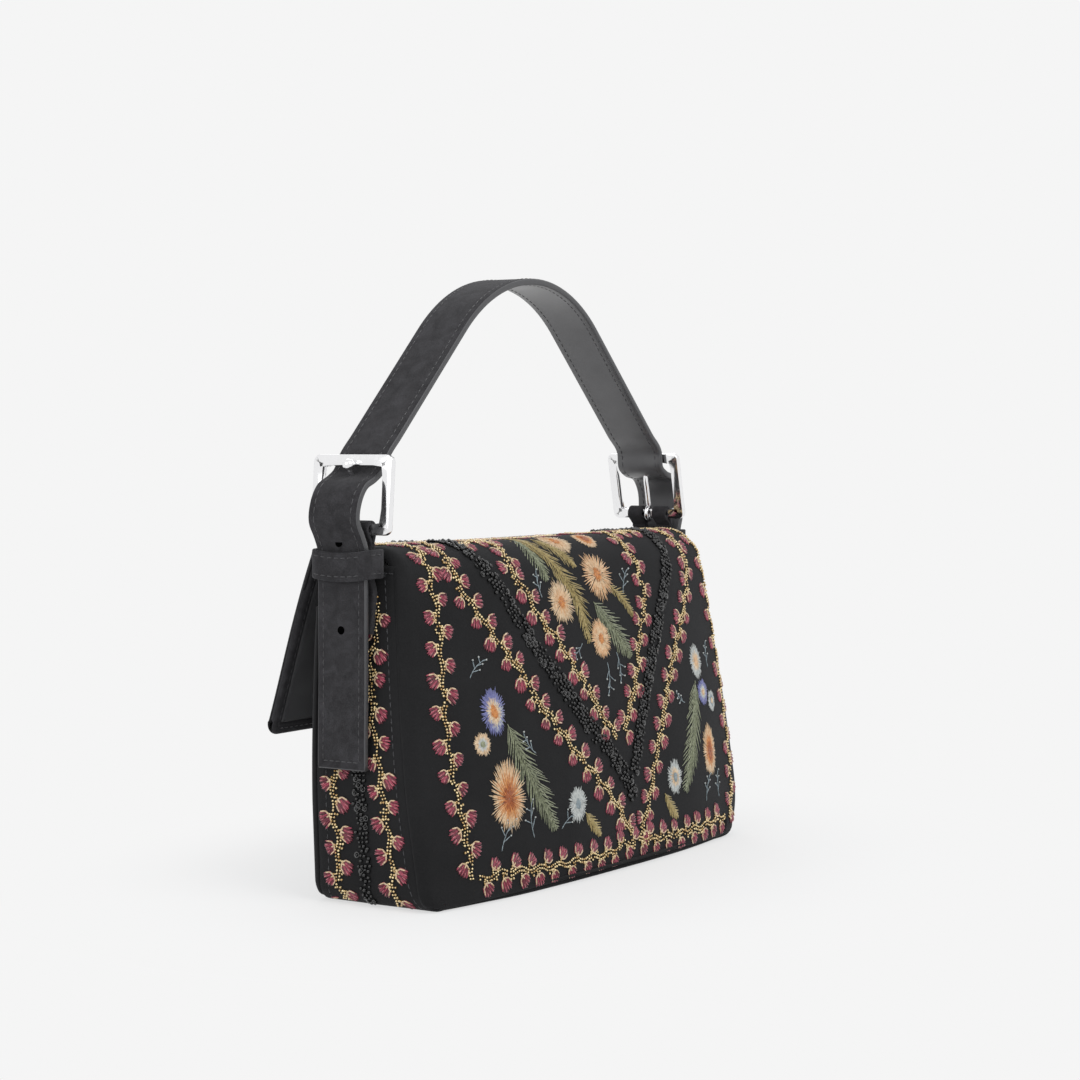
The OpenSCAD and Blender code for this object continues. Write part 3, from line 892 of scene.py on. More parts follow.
    def relief(self, x: float, b: float) -> float:
        """How far the soft cloth stands off its plain section.

        Args:
            x: Place along the bag.
            b: Place up the cloth.

        Returns:
            The distance along the normal, in millimetres.
        """
        parts = self.parts(x)
        part = min(abs(x) / self.half_l, 1)
        up = min(max(b / parts.roll, 0), 1)
        lift = (1 - part ** 3) * (self.bulge * sin(pi * up) - self.tuck * (1 - up) ** 3)
        lift -= self.sag * (1 - part ** 2) * smooth((b - parts.roll + 8) / 26) * smooth((parts.fold - b) / 30)
        soft = smooth((b - 6) / 20) * smooth((parts.fold - b) / 25) * smooth((self.half_l - abs(x) - 6) / 20)
        lift += soft * 0.8 * noise.noise(Vector((x / 55, b / 42, 3.1)))
        down = b - parts.fold - self.fold_len
        if down > 0:
            lift += smooth(down / self.flap_drop * 2) * 0.7 * noise.noise(Vector((x / 60, b / 45, 7.7)))
        return lift

    def point(self, a: float, b: float, inset: float = 0.0) -> Vector:
        """Point of the cloth.

        Args:
            a: Place along the bag.
            b: Place up the cloth.
            inset: Distance inside the face.

        Returns:
            The point, in millimetres.
        """
        y, z, ny, nz = self.section(a, b)
        r, gap = self.edge(a, b)
        off = self.relief(a, b) - (r - rounded(r, min(max(gap, 0.0), r))) - inset
        return Vector((a, y + ny * off, z + nz * off))


@dataclass
class Front(Cover):
    """The front panel, whose place is (a, b) with b up from the base seam."""

    slope: float = -0.04
    ends: Pair = (5.0, 4.0)
    lip_z: float = 122.0
    dip: float = 1.6

    def section(self, x: float, b: float) -> Quad:
        """Point and normal of the front, mirrored to the flap's side."""
        y, z, ny, nz = self.wall(self.half_d, b)
        return -y, z, -ny, nz

    def total(self, x: float) -> float:
        """b at the lip of the mouth."""
        return self.foot_len + (self.lip_z - self.foot_top) / cos(self.lean)

    def half(self, a: float, b: float) -> float:
        """Half length of the front at b."""
        return self.end_x(self.section(0, b)[1], a)

    def edge(self, a: float, b: float) -> Pair:
        """Radius of the round edge beside a place, and how far in the place lies."""
        return self.end_r(a), self.half(a, b) - abs(a)

    def relief(self, x: float, b: float) -> float:
        """Slack of the empty front: the lip dips in a little between the snap and the ends."""
        high = smooth((b - 50) / 70)
        off_snap = smooth((abs(x) - 14) / 30)
        ends = smooth((self.half_l - abs(x) - 4) / 30)
        return ends * off_snap * (-self.dip * high + 0.5 * noise.noise(Vector((x / 50, b / 40, 1.9))))


@dataclass
class Strip:
    """The strip between the panels: up both ends and along the base.

    A place on it is (s, t): s along the outline from the middle of the base, positive to the near end, and t from
    the front seam, 0, to the back seam, 1.
    """

    cover: Cover
    front: Front
    top_z: float = 140.0
    seam_s: float = 110.5
    seam_dip: float = 1.8

    def __post_init__(self) -> None:
        """Walks both halves of the outline once, the far one first."""
        c = self.cover
        self.tracks, self.top_s = [], []
        for side, r in zip((-1, 1), c.corners):
            low = [r * (1 - cos(pi / 2 * i / 24)) for i in range(1, 25)]
            path = [(c.end_x(0, side) * i / 60, 0.0) for i in range(61)]
            path += [(c.end_x(z, side), z) for z in (*low, *np.linspace(r, self.top_z + 6, 160)[1:])]
            self.tracks.append(Track(path))
            self.top_s.append(float(np.interp(self.top_z, self.tracks[-1].xy[:, 1], self.tracks[-1].reach)))

    def outline(self, s: float) -> Quad:
        """x, z and the normal's x and z at s."""
        side, track, d = 1 if s >= 0 else -1, self.tracks[int(s >= 0)], abs(s)
        (x, z), (x1, z1), (x0, z0) = (track.spot(q) for q in (d, d + 0.5, max(d - 0.5, 0)))
        size = hypot(x1 - x0, z1 - z0) or 1.0
        return side * x, z, side * (z1 - z0) / size, -(x1 - x0) / size

    def edges(self, s: float) -> Pair:
        """y of the front and the back seam at s."""
        c, f = self.cover, self.front
        x, z, _, _ = self.outline(s)
        inner = min(abs(x), c.end_x(max(z, 0.01), x) - c.end_r(x))
        up = smooth(z / 14)
        b = c.foot_len + max(0.0, z - c.foot_top) / cos(c.lean)
        swell = c.swell_at(inner)
        high = swell - c.slope * z - c.end_r(x) + c.relief(inner, b) * 0.98
        low = swell - c.foot_in
        front_high = -f.half_d + f.slope * z + f.end_r(x)
        front_low = -f.half_d + f.foot_in
        return front_low + (front_high - front_low) * up, low + (high - low) * up

    def point(self, s: float, t: float, inset: float = 0.0) -> Vector:
        """Point of the strip; its edges dip into the seams."""
        x, z, nx, nz = self.outline(s)
        y0, y1 = self.edges(s)
        y = y0 + (y1 - y0) * t
        dip = 1.0 - smooth(min(y - y0, y1 - y) / self.seam_dip)
        off = -dip - inset + 0.25 * noise.noise(Vector((s / 30, y / 25, 5.0))) * (1 - dip)
        return Vector((x + nx * off, y, z + nz * off))


def spread(count: int, edge: float, lim: float, steps: int) -> list[float]:
    """Columns across a sheet, close together in its rounded ends.

    Args:
        count: Faces across the middle.
        edge: Width of the rounded end.
        lim: Half width of the sheet.
        steps: Faces in each rounded end.

    Returns:
        Places from -1 to 1.
    """
    middle = [(lim - edge) / lim * (2 * i / count - 1) for i in range(count + 1)]
    turn = [(lim - edge + edge * sin(pi / 2 * i / steps)) / lim for i in range(1, steps + 1)]
    return [-v for v in reversed(turn)] + middle + turn


def fitted(form: Cover, share: float, height: Callable[[float], float]) -> Pair:
    """Place on a form for a share of its half length, found in three steps from a first guess.

    Args:
        form: The panel's form.
        share: Part of the half length, from -1 to 1.
        height: Gives b for a.

    Returns:
        a and b.
    """
    a = share * form.half_l * 0.97
    for _ in range(3):
        a = share * form.half(a, height(a))
    return a, height(a)


@dataclass
class BagBody:
    """The sewn shell: back and top, front, gussets, base and lining."""

    cover: Cover
    front: Front
    strip: Strip
    wall: float = 2.2
    columns: int = 110
    back_rows: int = 96
    front_rows: int = 60
    strip_rows: int = 90

    def mouth_stitches(self) -> None:
        """Two rows of stitches that hold the facing under the lip of the front panel."""
        f = self.front
        reach = f.half_l - 9
        places = []
        for drop in (2.6, 9.0):
            line = [Vector((a, f.total(0) - drop)) for a in np.linspace(-reach, reach, 100)]
            places += [stitch_at(f.point(*p), f.point(*q), Vector((0, -1, 0)), *SEAM)
                       for p, q in stepped(line, 3.4, 2.5)]
        piece = repeated("front_mouth_stitches", stitch_shape(), places, BLACK_THREAD)
        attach(piece, Body.BAG.value)

    def panel(self, name: str, form: Cover, end: Callable[[float], float], rows: int, facing: Triple) -> Piece:
        """Builds a panel from its base seam to an end.

        Args:
            name: The piece's name.
            form: The panel's form.
            end: Upper b at x.
            rows: Faces up the cloth.
            facing: Direction that the panel faces.

        Returns:
            The piece.
        """
        cols = spread(self.columns, 6.0, form.half_l, 6)

        def place(u: float, v: float) -> Vector:
            """Point for a grid place; rows lie closer together at both ends."""
            up = v - 0.045 * sin(2 * pi * v)
            return form.point(*fitted(form, cols[round(u * (len(cols) - 1))], lambda a: end(a) * up))

        piece = piece_from(name, sheet_from(rows, len(cols) - 1, place), CLOTH, facing=facing)
        thicken(piece, self.wall)
        log.info("%s: %d columns, %d rows", name, len(cols) - 1, rows)
        return piece

    def build(self) -> None:
        """Builds the shell and dresses it."""
        c, f = self.cover, self.front
        back = self.panel("cover_back", c, c.top_end, self.back_rows, (0, 1, 0.3))
        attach(back, Body.BAG.value)
        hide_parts("back_panel")
        front = self.panel("front_cloth", f, f.total, self.front_rows, (0, -1, 0))
        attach(front, Body.BAG.value)
        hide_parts("front_panel")
        self.mouth_stitches()
        self.ends()
        self.lining()

    def ends(self) -> None:
        """Builds both gussets and the base strip; share is the visible part of the flat cut."""
        s = self.strip
        for name, s0, s1, wide, share, node in (
                ("gusset_cloth_near", s.seam_s, s.top_s[1], 0.066, 0.74, "gusset_near"),
                ("gusset_cloth_far", -s.seam_s, -s.top_s[0], 0.066, 0.68, "gusset_far"),
                ("base_cloth", -s.seam_s, s.seam_s, 0.068, 0.99, "base_panel")):
            grid = sheet_from(self.strip_rows, 40, lambda u, v: s.point(s0 + (s1 - s0) * v, u))
            part = piece_from(name, grid, GUSSET_CLOTH, facing=((s0 + s1) / 100, 0, -1))
            thicken(part, self.wall)
            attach(part, Body.BAG.value)
            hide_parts(node)
            log.info("%s: from %.0f to %.0f mm along the outline", name, s0, s1)

    def lining(self) -> None:
        """Builds the lining that shows in the mouth."""
        c, f, s = self.cover, self.front, self.strip
        deep, reach = self.wall + 0.7, 0.97

        def inner(form: Cover, height: Callable[[float], float]) -> Surface:
            """Surface inside a panel, from 3 mm over its seam through a height."""
            return lambda u, v: form.point(*fitted(form, (2 * u - 1) * reach, lambda a: 3 + v * height(a)), deep)

        def round_ends(u: float, v: float) -> Vector:
            """Point inside the strip, from the far end's top to the near end's."""
            return s.point((2 * v - 1) * (s.top_s[v > 0.5] - 1), 0.02 + 0.96 * u, deep)

        bm = sheet_from(70, 60, inner(c, lambda a: c.parts(a).fold - 14))
        for extra in (sheet_from(40, 60, inner(f, lambda a: f.total(a) - 3.6)), sheet_from(120, 20, round_ends)):
            mesh = bpy.data.meshes.new("lining_part")
            extra.to_mesh(mesh)
            extra.free()
            bm.from_mesh(mesh)
            bpy.data.meshes.remove(mesh)
        lining = piece_from("bag_lining", bm, TWILL)
        thicken(lining, 0.5)
        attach(lining, Body.BAG.value)
        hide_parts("lining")


@dataclass
class Flap:
    """The flap: its outer cloth, the turned edge inside and the lining panel."""

    cover: Cover
    rim: float = 5.0
    recess: float = 0.8
    columns: int = 110
    panel_top: float = 4.6
    panel_gap: float = 0.5
    seam_in: float = 3.2
    seam_r: float = 3.0
    round_from: float = 0.85

    def __post_init__(self) -> None:
        """Works out the columns."""
        self.cols = spread(self.columns, 4.0, self.cover.half_l, 5)

    def column(self, u: float) -> float:
        """Share of the half length for a grid place."""
        return self.cols[round(u * (len(self.cols) - 1))]

    def row(self, v: float, length: float) -> float:
        """Distance down for a grid place: even at first, then crowding round the lower corners."""
        r, start = self.cover.flap_corner, self.round_from
        if v < start:
            return (length - r) * v / start
        return length - r + r * sin(pi / 2 * (v - start) / (1 - start))

    def build(self) -> None:
        """Builds the flap and dresses it."""
        c = self.cover
        reach = c.split + c.fold_len + c.flap_drop
        outer = piece_from("cover_flap", sheet_from(100, len(self.cols) - 1, lambda u, v: c.point(
            *fitted(c, self.column(u), lambda a: c.top_end(a) + self.row(v, reach)))), CLOTH, facing=(0, -1, 0))
        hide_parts("flap_outer")
        thicken(outer, 1.0)
        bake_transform(outer)
        grid = sheet_from(80, len(self.cols) - 1, self.inner_face)
        inner = piece_from("flap_turned_edge", grid, SUEDE, facing=(0, 1, 0))
        thicken(inner, 0.5)
        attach(inner, Body.FLAP.value)
        panel = piece_from("flap_lining_panel", sheet_from(60, 100, self.panel_face), TWILL, facing=(0, 1, 0))
        thicken(panel, 0.4)
        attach(panel, Body.FLAP.value)
        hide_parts("flap_lining")
        self.stitches()
        log.info("flap: outer cloth, turned edge, lining panel and edge stitches")

    def inside(self, a: float, d: float, sunk: float = 0.0) -> Vector:
        """Point on the inside of the flap.

        Args:
            a: Place along the bag.
            d: Distance down from the fold.
            sunk: How much thinner the flap is there.

        Returns:
            The point, in millimetres.
        """
        c = self.cover
        b = c.flap_b(a, d)
        return c.point(a, b, 2 * rounded(c.fold_r, min(max(c.edge_gap(a, b), 0.0), c.fold_r)) - sunk)

    def inner_face(self, u: float, v: float) -> Vector:
        """Turned edge: a raised band round a shallow recess."""
        c = self.cover
        d = self.row(v, c.flap_drop)
        a, b = fitted(c, self.column(u), lambda a: c.flap_b(a, d))
        return self.inside(a, d, self.recess * smooth(c.edge_gap(a, b) - self.rim) * smooth((d - 3) / 2))

    def panel_face(self, u: float, v: float) -> Vector:
        """Lining panel in the recess, slightly slack."""
        c = self.cover
        high = c.flap_drop - self.panel_top - self.rim - self.panel_gap
        d = self.panel_top + v * high
        wide = c.flap_half + c.flap_flare * d / c.flap_drop - self.rim - self.panel_gap
        a, left = (2 * u - 1) * wide, (1 - v) * high
        slack = 0.35 + 0.25 * noise.noise(Vector((a / 18, d / 30, 2.0))) * smooth(min(left, d, wide - abs(a)) / 10)
        return self.inside(a, d, self.recess - slack)

    def stitches(self) -> None:
        """Row of stitches round the turned edge, on both faces."""
        c, r = self.cover, self.seam_r
        low = c.flap_drop - self.seam_in
        line = [Vector((c.flap_half - self.seam_in + c.flap_flare * d / c.flap_drop, d))
                for d in np.linspace(2, low - r, 40)]
        corner = Vector((c.flap_half + c.flap_flare - self.seam_in - r, low - r))
        line += [corner + toward(q, r) for q in np.linspace(0.2, pi / 2, 6)]
        line += [Vector((x, low)) for x in np.linspace(corner.x - 2, 0, 60)]
        line += [Vector((-p.x, p.y)) for p in reversed(line[:-1])]

        def outside(a: float, d: float) -> Vector:
            """Point on the outside of the flap."""
            return c.point(a, c.flap_b(a, d))

        places = []
        for p, q in stepped(line, 3.4, 2.5):
            mid = (p + q) / 2
            out = outside(*mid) - self.inside(*mid)
            places += [stitch_at(face(*p), face(*q), up, *SEAM) for face, up in ((outside, out), (self.inside, -out))]
        piece = repeated("flap_edge_stitches", stitch_shape(), places, BLACK_THREAD)
        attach(piece, Body.FLAP.value)


# ------------------------------------------------------------ strap and buckles


@dataclass
class StrapPath:
    """The strap's middle line in the handle's own frame, from keeper to keeper."""

    near_heel: Pair = (128.9, -11.5)
    far_heel: Pair = (-125.5, -21.0)
    heel_z: float = 154.9
    handle_z: float = 262.5
    near_arch: Pair = (87.0, 43.0)
    far_arch: Pair = (79.0, 41.8)
    bar_pitch: float = 28.4
    bar: float = 4.6
    frame_t: float = 3.0
    heel_d: float = 4.2
    strap_t: float = 2.9
    tail_x: float = 134.4
    near_lean: float = 5.0
    far_lean: float = 13.0
    keeper_h: float = 12.0

    def __post_init__(self) -> None:
        """Works out the handle's middle, turn and line."""
        (x0, y0), (x1, y1) = self.far_heel, self.near_heel
        self.middle = Vector(((x0 + x1) / 2, (y0 + y1) / 2, 0))
        self.turn = atan2(y1 - y0, x1 - x0)
        self.span = hypot(x1 - x0, y1 - y0) / 2
        self.world = Matrix.Translation(self.middle) @ Matrix.Rotation(self.turn, 4, "Z")
        near, far = (self.arch(*arch) + curve(self.foot(*arch, lean, self.in_plane(self.tail_x, side)))
                     for arch, lean, side in ((self.near_arch, self.near_lean, 1), (self.far_arch, self.far_lean, -1)))
        self.line = Track([Vector((-p.x, p.y)) for p in reversed(far)] + near[1:])
        self.length = self.line.length

    def end_y(self, side: int) -> float:
        """y of the tab, the keeper and the tail at one end."""
        return (self.near_heel if side > 0 else self.far_heel)[1]

    def in_plane(self, x: float, side: int) -> float:
        """Distance from the handle's middle, in its plane, of what stands x out at one end."""
        return (x - side * self.middle.x) / cos(self.turn)

    def arch(self, r: float, leg: float) -> list[Vector]:
        """Half of the arched middle, from its top down to the straight leg."""
        return [Vector((r * sin(q), self.handle_z - r * (1 - cos(q)))) for q in np.radians(np.linspace(0, leg, 31))]

    def foot(self, r: float, leg: float, lean: float, exit_x: float) -> list[Vector]:
        """Points of one end: down the leg, inside the top bar, out over the heel bar and down.

        Args:
            r: Radius of the arch.
            leg: Slope of the leg in degrees.
            lean: Inward lean of the buckle in degrees.
            exit_x: Where the strap runs on in the hanging tail.

        Returns:
            The points.
        """
        q, fall = radians(lean), tan(radians(leg))
        bar = self.span - self.bar_pitch * sin(q)
        top = self.heel_z + self.bar_pitch * cos(q)
        leg_x = r * sin(radians(leg))
        leg_z = self.handle_z - r * (1 - cos(radians(leg)))
        t, ft = self.strap_t, self.frame_t
        gate = bar - ft / 2 - t / 2
        last = min(gate - 1.2, leg_x + (leg_z - top - 1.5) / fall) - leg_x
        out = self.span + self.heel_d
        line = [Vector((leg_x + part * last, leg_z - part * last * fall)) for part in (0.3, 0.6, 0.85, 1)]
        return line + [Vector(p) for p in (
            (gate + 0.2, top - self.bar / 2 - t / 2 - 1.2), (bar + ft / 2 + 0.7, top - self.bar - t - 0.4),
            (out + 1.6, top - self.bar - 2 * t - 0.2), (out + t + 3.6, self.heel_z + 0.37 * self.bar_pitch),
            (out + t + 4.6, self.heel_z + 0.12 * self.bar_pitch), ((5 * exit_x + out + t) / 6 + 2.6, self.heel_z - 2.5),
            (exit_x + 0.3, self.heel_z - 8), (exit_x, self.heel_z - self.keeper_h - 1.5))]

    def at(self, s: float, across: float, out: float) -> Vector:
        """Point on the strap.

        Args:
            s: Distance along the strap from its far end.
            across: Distance from its middle line, positive to the back.
            out: Distance from its middle layer, positive outwards.

        Returns:
            The point in the bag's frame, in millimetres.
        """
        s = min(max(s, 0.0), self.length)
        (x, z), (x0, z0), (x1, z1) = (self.line.spot(k) for k in (s, max(s - 1.0, 0.0), min(s + 1.0, self.length)))
        d = Vector((x1 - x0, z1 - z0)).normalized()
        return self.world @ Vector((x - d.y * out, across, z + d.x * out))


class Layer(Enum):
    """Layers through the strap: inner and outer face, from its middle layer outwards, in millimetres."""

    OUTER = (0.0, 1.6)
    INNER = (-1.3, 0.0)


@dataclass
class Strap:
    """The strap: suede outside, smooth leather inside, stitched and with painted edges."""

    path: StrapPath
    width: float = 24.0
    margin: float = 2.8
    stitch: float = 2.6
    pitch: float = 3.5
    tail_top: float = 141.5
    tail_z: float = 57.0
    hole_z: float = 113.7
    hole_from: float = 150.2
    hole_out: Pair = (1.66, 1.68)

    def build(self) -> None:
        """Builds the strap over the handle and both tails."""
        length, bend = self.path.length, 75
        s = np.concatenate((np.linspace(0, bend, 46), np.linspace(bend, length - bend, 70)[1:-1],
                            np.linspace(length - bend, length, 46)))
        parts = self.leather("strap", "", s, self.path.at)
        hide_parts("strap_outer")
        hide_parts("strap_lining")
        parts += [self.stitches(), self.holes()]
        for piece in parts:
            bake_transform(piece)
        for side, place in ENDS:
            self.tail(side, place)
        log.info("strap: %.0f mm from keeper to keeper", length)

    def leather(self, name: str, end: str, stations: Sequence[float],
                at: Sweep) -> list[Piece]:
        """Builds both layers and the painted line along each cut edge, over the join of the layers.

        Args:
            name: First part of the pieces' names.
            end: Last part of them.
            stations: Places along.
            at: Gives the point for along, across and out.

        Returns:
            The outer layer, the inner layer and both painted lines.
        """
        half, parts = self.width / 2, []
        for layer, word, finish, slot in ((Layer.OUTER, "suede", SUEDE, "charcoal_suede"),
                                          (Layer.INNER, "smooth", CALF, "smooth_leather")):
            section = band_section(half, *layer.value, 0.55)
            parts.append(piece_from(f"{name}_{word}{end}", swept(section, stations, at), finish, sharp=50))
        for side, word in ((1, "back"), (-1, "front")):
            outline = paint_line(side * (half - 0.15), side * 0.42, side * (half - 0.9))
            parts.append(piece_from(f"{name}_edge_{word}{end}", swept(outline, stations, at), EDGE))
        return parts

    def stitches(self) -> Piece:
        """Sews rows of stitches along both edges, on both faces.

        Returns:
            The piece.
        """
        places = []
        reach, across = self.stitch / 2, self.width / 2 - self.margin
        count = int(self.path.length / self.pitch)
        for i in range(count):
            mid = (i + 0.5) * self.path.length / count
            for side in (-across, across):
                for out, up in FACES:
                    p, q, low, high = (self.path.at(mid + along, side, z) for along, z in (
                        (-reach, out), (reach, out), (0, out), (0, out + up)))
                    places.append(stitch_at(p, q, high - low, *SADDLE))
        piece = repeated("strap_stitches", stitch_shape(), places, GREY_THREAD)
        return piece

    def holes(self) -> Piece:
        """Puts a disc of painted shade where the hole shows above each keeper.

        Returns:
            The piece.
        """
        line, spots = self.path.line, []
        for side in (1, -1):
            near = [q for q, p in zip(line.reach, line.points) if p.x * side > 100 and p.y > self.hole_from]
            q = near[-1] if side > 0 else near[0]
            p = self.path.at(q, 0, self.hole_out[0])
            spots.append(frame_at(p, Vector((0, 0, 1)), p - self.path.at(q, 0, 0)))
        # each disc is painted shade that stands for a hole, not a cut
        piece = repeated("strap_holes", hole_shape(), spots, HOLE_SHADE)
        return piece

    def tail(self, side: int, place: str) -> None:
        """Builds the tail that hangs outside a gusset.

        Args:
            side: 1 at the near end, -1 at the far end.
            place: near or far.
        """
        y, foot, half = self.path.end_y(side), self.tail_z, self.width / 2

        def at(z: float, across: float, out: float) -> Vector:
            """Point of the tail; out is away from the bag."""
            curl = 0.5 * smooth((100 - z) / 43)
            return Vector((side * (self.path.tail_x - 0.15 + out + curl), y + across, z))

        parts = self.leather("tail", "_" + place, np.linspace(self.tail_top, foot, 40), at)
        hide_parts("tail_seat_" + place, "tail_" + place)
        across = np.linspace(0.2 - half, half - 0.2, 12)
        end = swept(paint_line(-0.3, -0.4, 0.5), across, lambda s, u, v: at(foot + u, s, v))
        # the tail's hole is a disc of painted shade, not a cut
        hole = Matrix.Translation(at(self.hole_z, 0, self.hole_out[1])) @ Matrix.Rotation(pi / 2, 4, "Y")
        for piece in (piece_from(f"tail_end_{place}", end, EDGE),
                      repeated(f"tail_stitches_{place}", stitch_shape(), self.tail_rows(side, at), GREY_THREAD),
                      repeated(f"tail_hole_{place}", hole_shape(), [hole], HOLE_SHADE)):
            parts.append(piece)
        for piece in parts:
            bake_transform(piece)

    def tail_rows(self, side: int, at: Sweep) -> list[Matrix]:
        """Lays a tail's stitches, up both edges and across the end.

        Args:
            side: 1 at the near end, -1 at the far end.
            at: Gives the point for height, across and out.

        Returns:
            A matrix for each stitch.
        """
        reach, across, foot = self.stitch / 2, self.width / 2 - self.margin, self.tail_z + self.margin
        count = int((self.tail_top - self.tail_z - 2 * self.margin) / self.pitch)
        rows = [((h - reach, x), (h + reach, x)) for h in (foot + (i + 0.5) * self.pitch for i in range(count))
                for x in (-across, across)]
        rows += [((foot, u - reach), (foot, u + reach)) for u in (((i + 0.5) / 3 - 1) * across for i in range(6))]
        return [stitch_at(at(*p, out), at(*q, out), Vector((side * up, 0, 0)), *SADDLE) for out, up in FACES
                for p, q in rows]


@dataclass
class Buckles:
    """Both buckle frames and tongues."""

    path: StrapPath
    wide: float = 39.5
    high: float = 33.0
    corner: float = 3.0
    soft: float = 0.55
    pin_r: float = 1.25
    ball_r: float = 2.5

    def heel(self, side: int) -> Matrix:
        """Frame at the heel bar, with Z up the leaning buckle and X outwards."""
        lean = self.path.near_lean if side > 0 else self.path.far_lean
        turn = Matrix.Identity(4) if side > 0 else Matrix.Scale(-1, 4, (1, 0, 0))
        return (self.path.world @ turn @ Matrix.Translation((self.path.span, 0, self.path.heel_z))
                @ Matrix.Rotation(-radians(lean), 4, "Y"))

    def frame_shape(self, side: int) -> Mesh:
        """Rectangular frame with softened edges.

        Args:
            side: 1 at the near end, -1 at the far end.

        Returns:
            The mesh in the bag's frame.
        """
        bar, thick = self.path.bar, self.path.frame_t
        bm = bmesh.new()
        bmesh.ops.create_grid(bm, x_segments=1, y_segments=1, size=0.5)
        bmesh.ops.scale(bm, vec=(self.wide, self.high, 1), verts=bm.verts)
        bmesh.ops.bevel(bm, geom=list(bm.verts), offset=self.corner, offset_type="OFFSET", segments=6, profile=0.5,
                        affect="VERTICES", material=-1)
        ring = bmesh.ops.inset_region(bm, faces=list(bm.faces), thickness=bar, use_even_offset=True,
                                      use_boundary=True)["faces"]
        bmesh.ops.delete(bm, geom=[f for f in bm.faces if f not in ring], context="FACES")
        grown = bmesh.ops.extrude_face_region(bm, geom=list(bm.faces))["geom"]
        bmesh.ops.translate(bm, vec=(0, 0, thick), verts=[g for g in grown if isinstance(g, bmesh.types.BMVert)])
        bmesh.ops.recalc_face_normals(bm, faces=bm.faces)
        sharp = [e for e in bm.edges if len(e.link_faces) == 2 and e.calc_face_angle(0) > 1.2]
        bmesh.ops.bevel(bm, geom=sharp, offset=self.soft, offset_type="OFFSET", segments=3, profile=0.5,
                        affect="EDGES", material=-1)
        bmesh.ops.translate(bm, vec=(0, (self.high - bar) / 2, -thick / 2), verts=bm.verts)
        for axis in "XZ":
            bmesh.ops.rotate(bm, cent=(0, 0, 0), matrix=Matrix.Rotation(pi / 2, 3, axis), verts=bm.verts)
        bmesh.ops.transform(bm, matrix=self.heel(side), verts=bm.verts)
        return bm

    def tongue_shape(self, side: int) -> Mesh:
        """Tongue: an eye round the heel bar, a pin through the strap and a ball over the top bar.

        Args:
            side: 1 at the near end, -1 at the far end.

        Returns:
            The mesh in the bag's frame.
        """
        line = curve([Vector(p) for p in (
            (0.2, 3.0), (0.3, 12.0), (0.2, 18.0), (1.4, 21.8), (3.1, 24.4), (3.8, 26.0))], 4)

        def at(i: int, across: float, out: float) -> Vector:
            """Point of the pin."""
            p = beside(line, i, out)
            return Vector((p.x, across, p.y))

        pin = [tuple(toward(q, self.pin_r)) for q in np.linspace(0, 2 * pi, 13)[:-1]]
        bm = swept(pin, range(len(line)), at)
        bmesh.ops.create_uvsphere(bm, u_segments=20, v_segments=14, radius=self.ball_r,
                                  matrix=Matrix.Translation((4.1, 0, 26.2)))
        eye = bmesh.ops.create_circle(bm, cap_ends=False, segments=10, radius=1.1,
                                      matrix=Matrix.Translation((3.25, 0, 0)))["verts"]
        bmesh.ops.spin(bm, geom=list(eye) + list({e for v in eye for e in v.link_edges}), cent=(0, 0, 0),
                       axis=(0, 1, 0), angle=2 * pi, steps=20, use_merge=True)
        bmesh.ops.transform(bm, matrix=self.heel(side), verts=bm.verts)
        return bm

    def build(self) -> None:
        """Builds a softened frame and a tongue for each buckle."""
        for side, place in ENDS:
            for word, shape, sharp in (("frame_", self.frame_shape, 40), ("tongue_", self.tongue_shape, 50)):
                piece = piece_from("buckle_" + word + place, shape(side), PLATE, sharp=sharp)
                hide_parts(word + place)
                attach(piece, Body.HANDLE.value)
        log.info("buckles: two frames and two tongues in nickel plate")


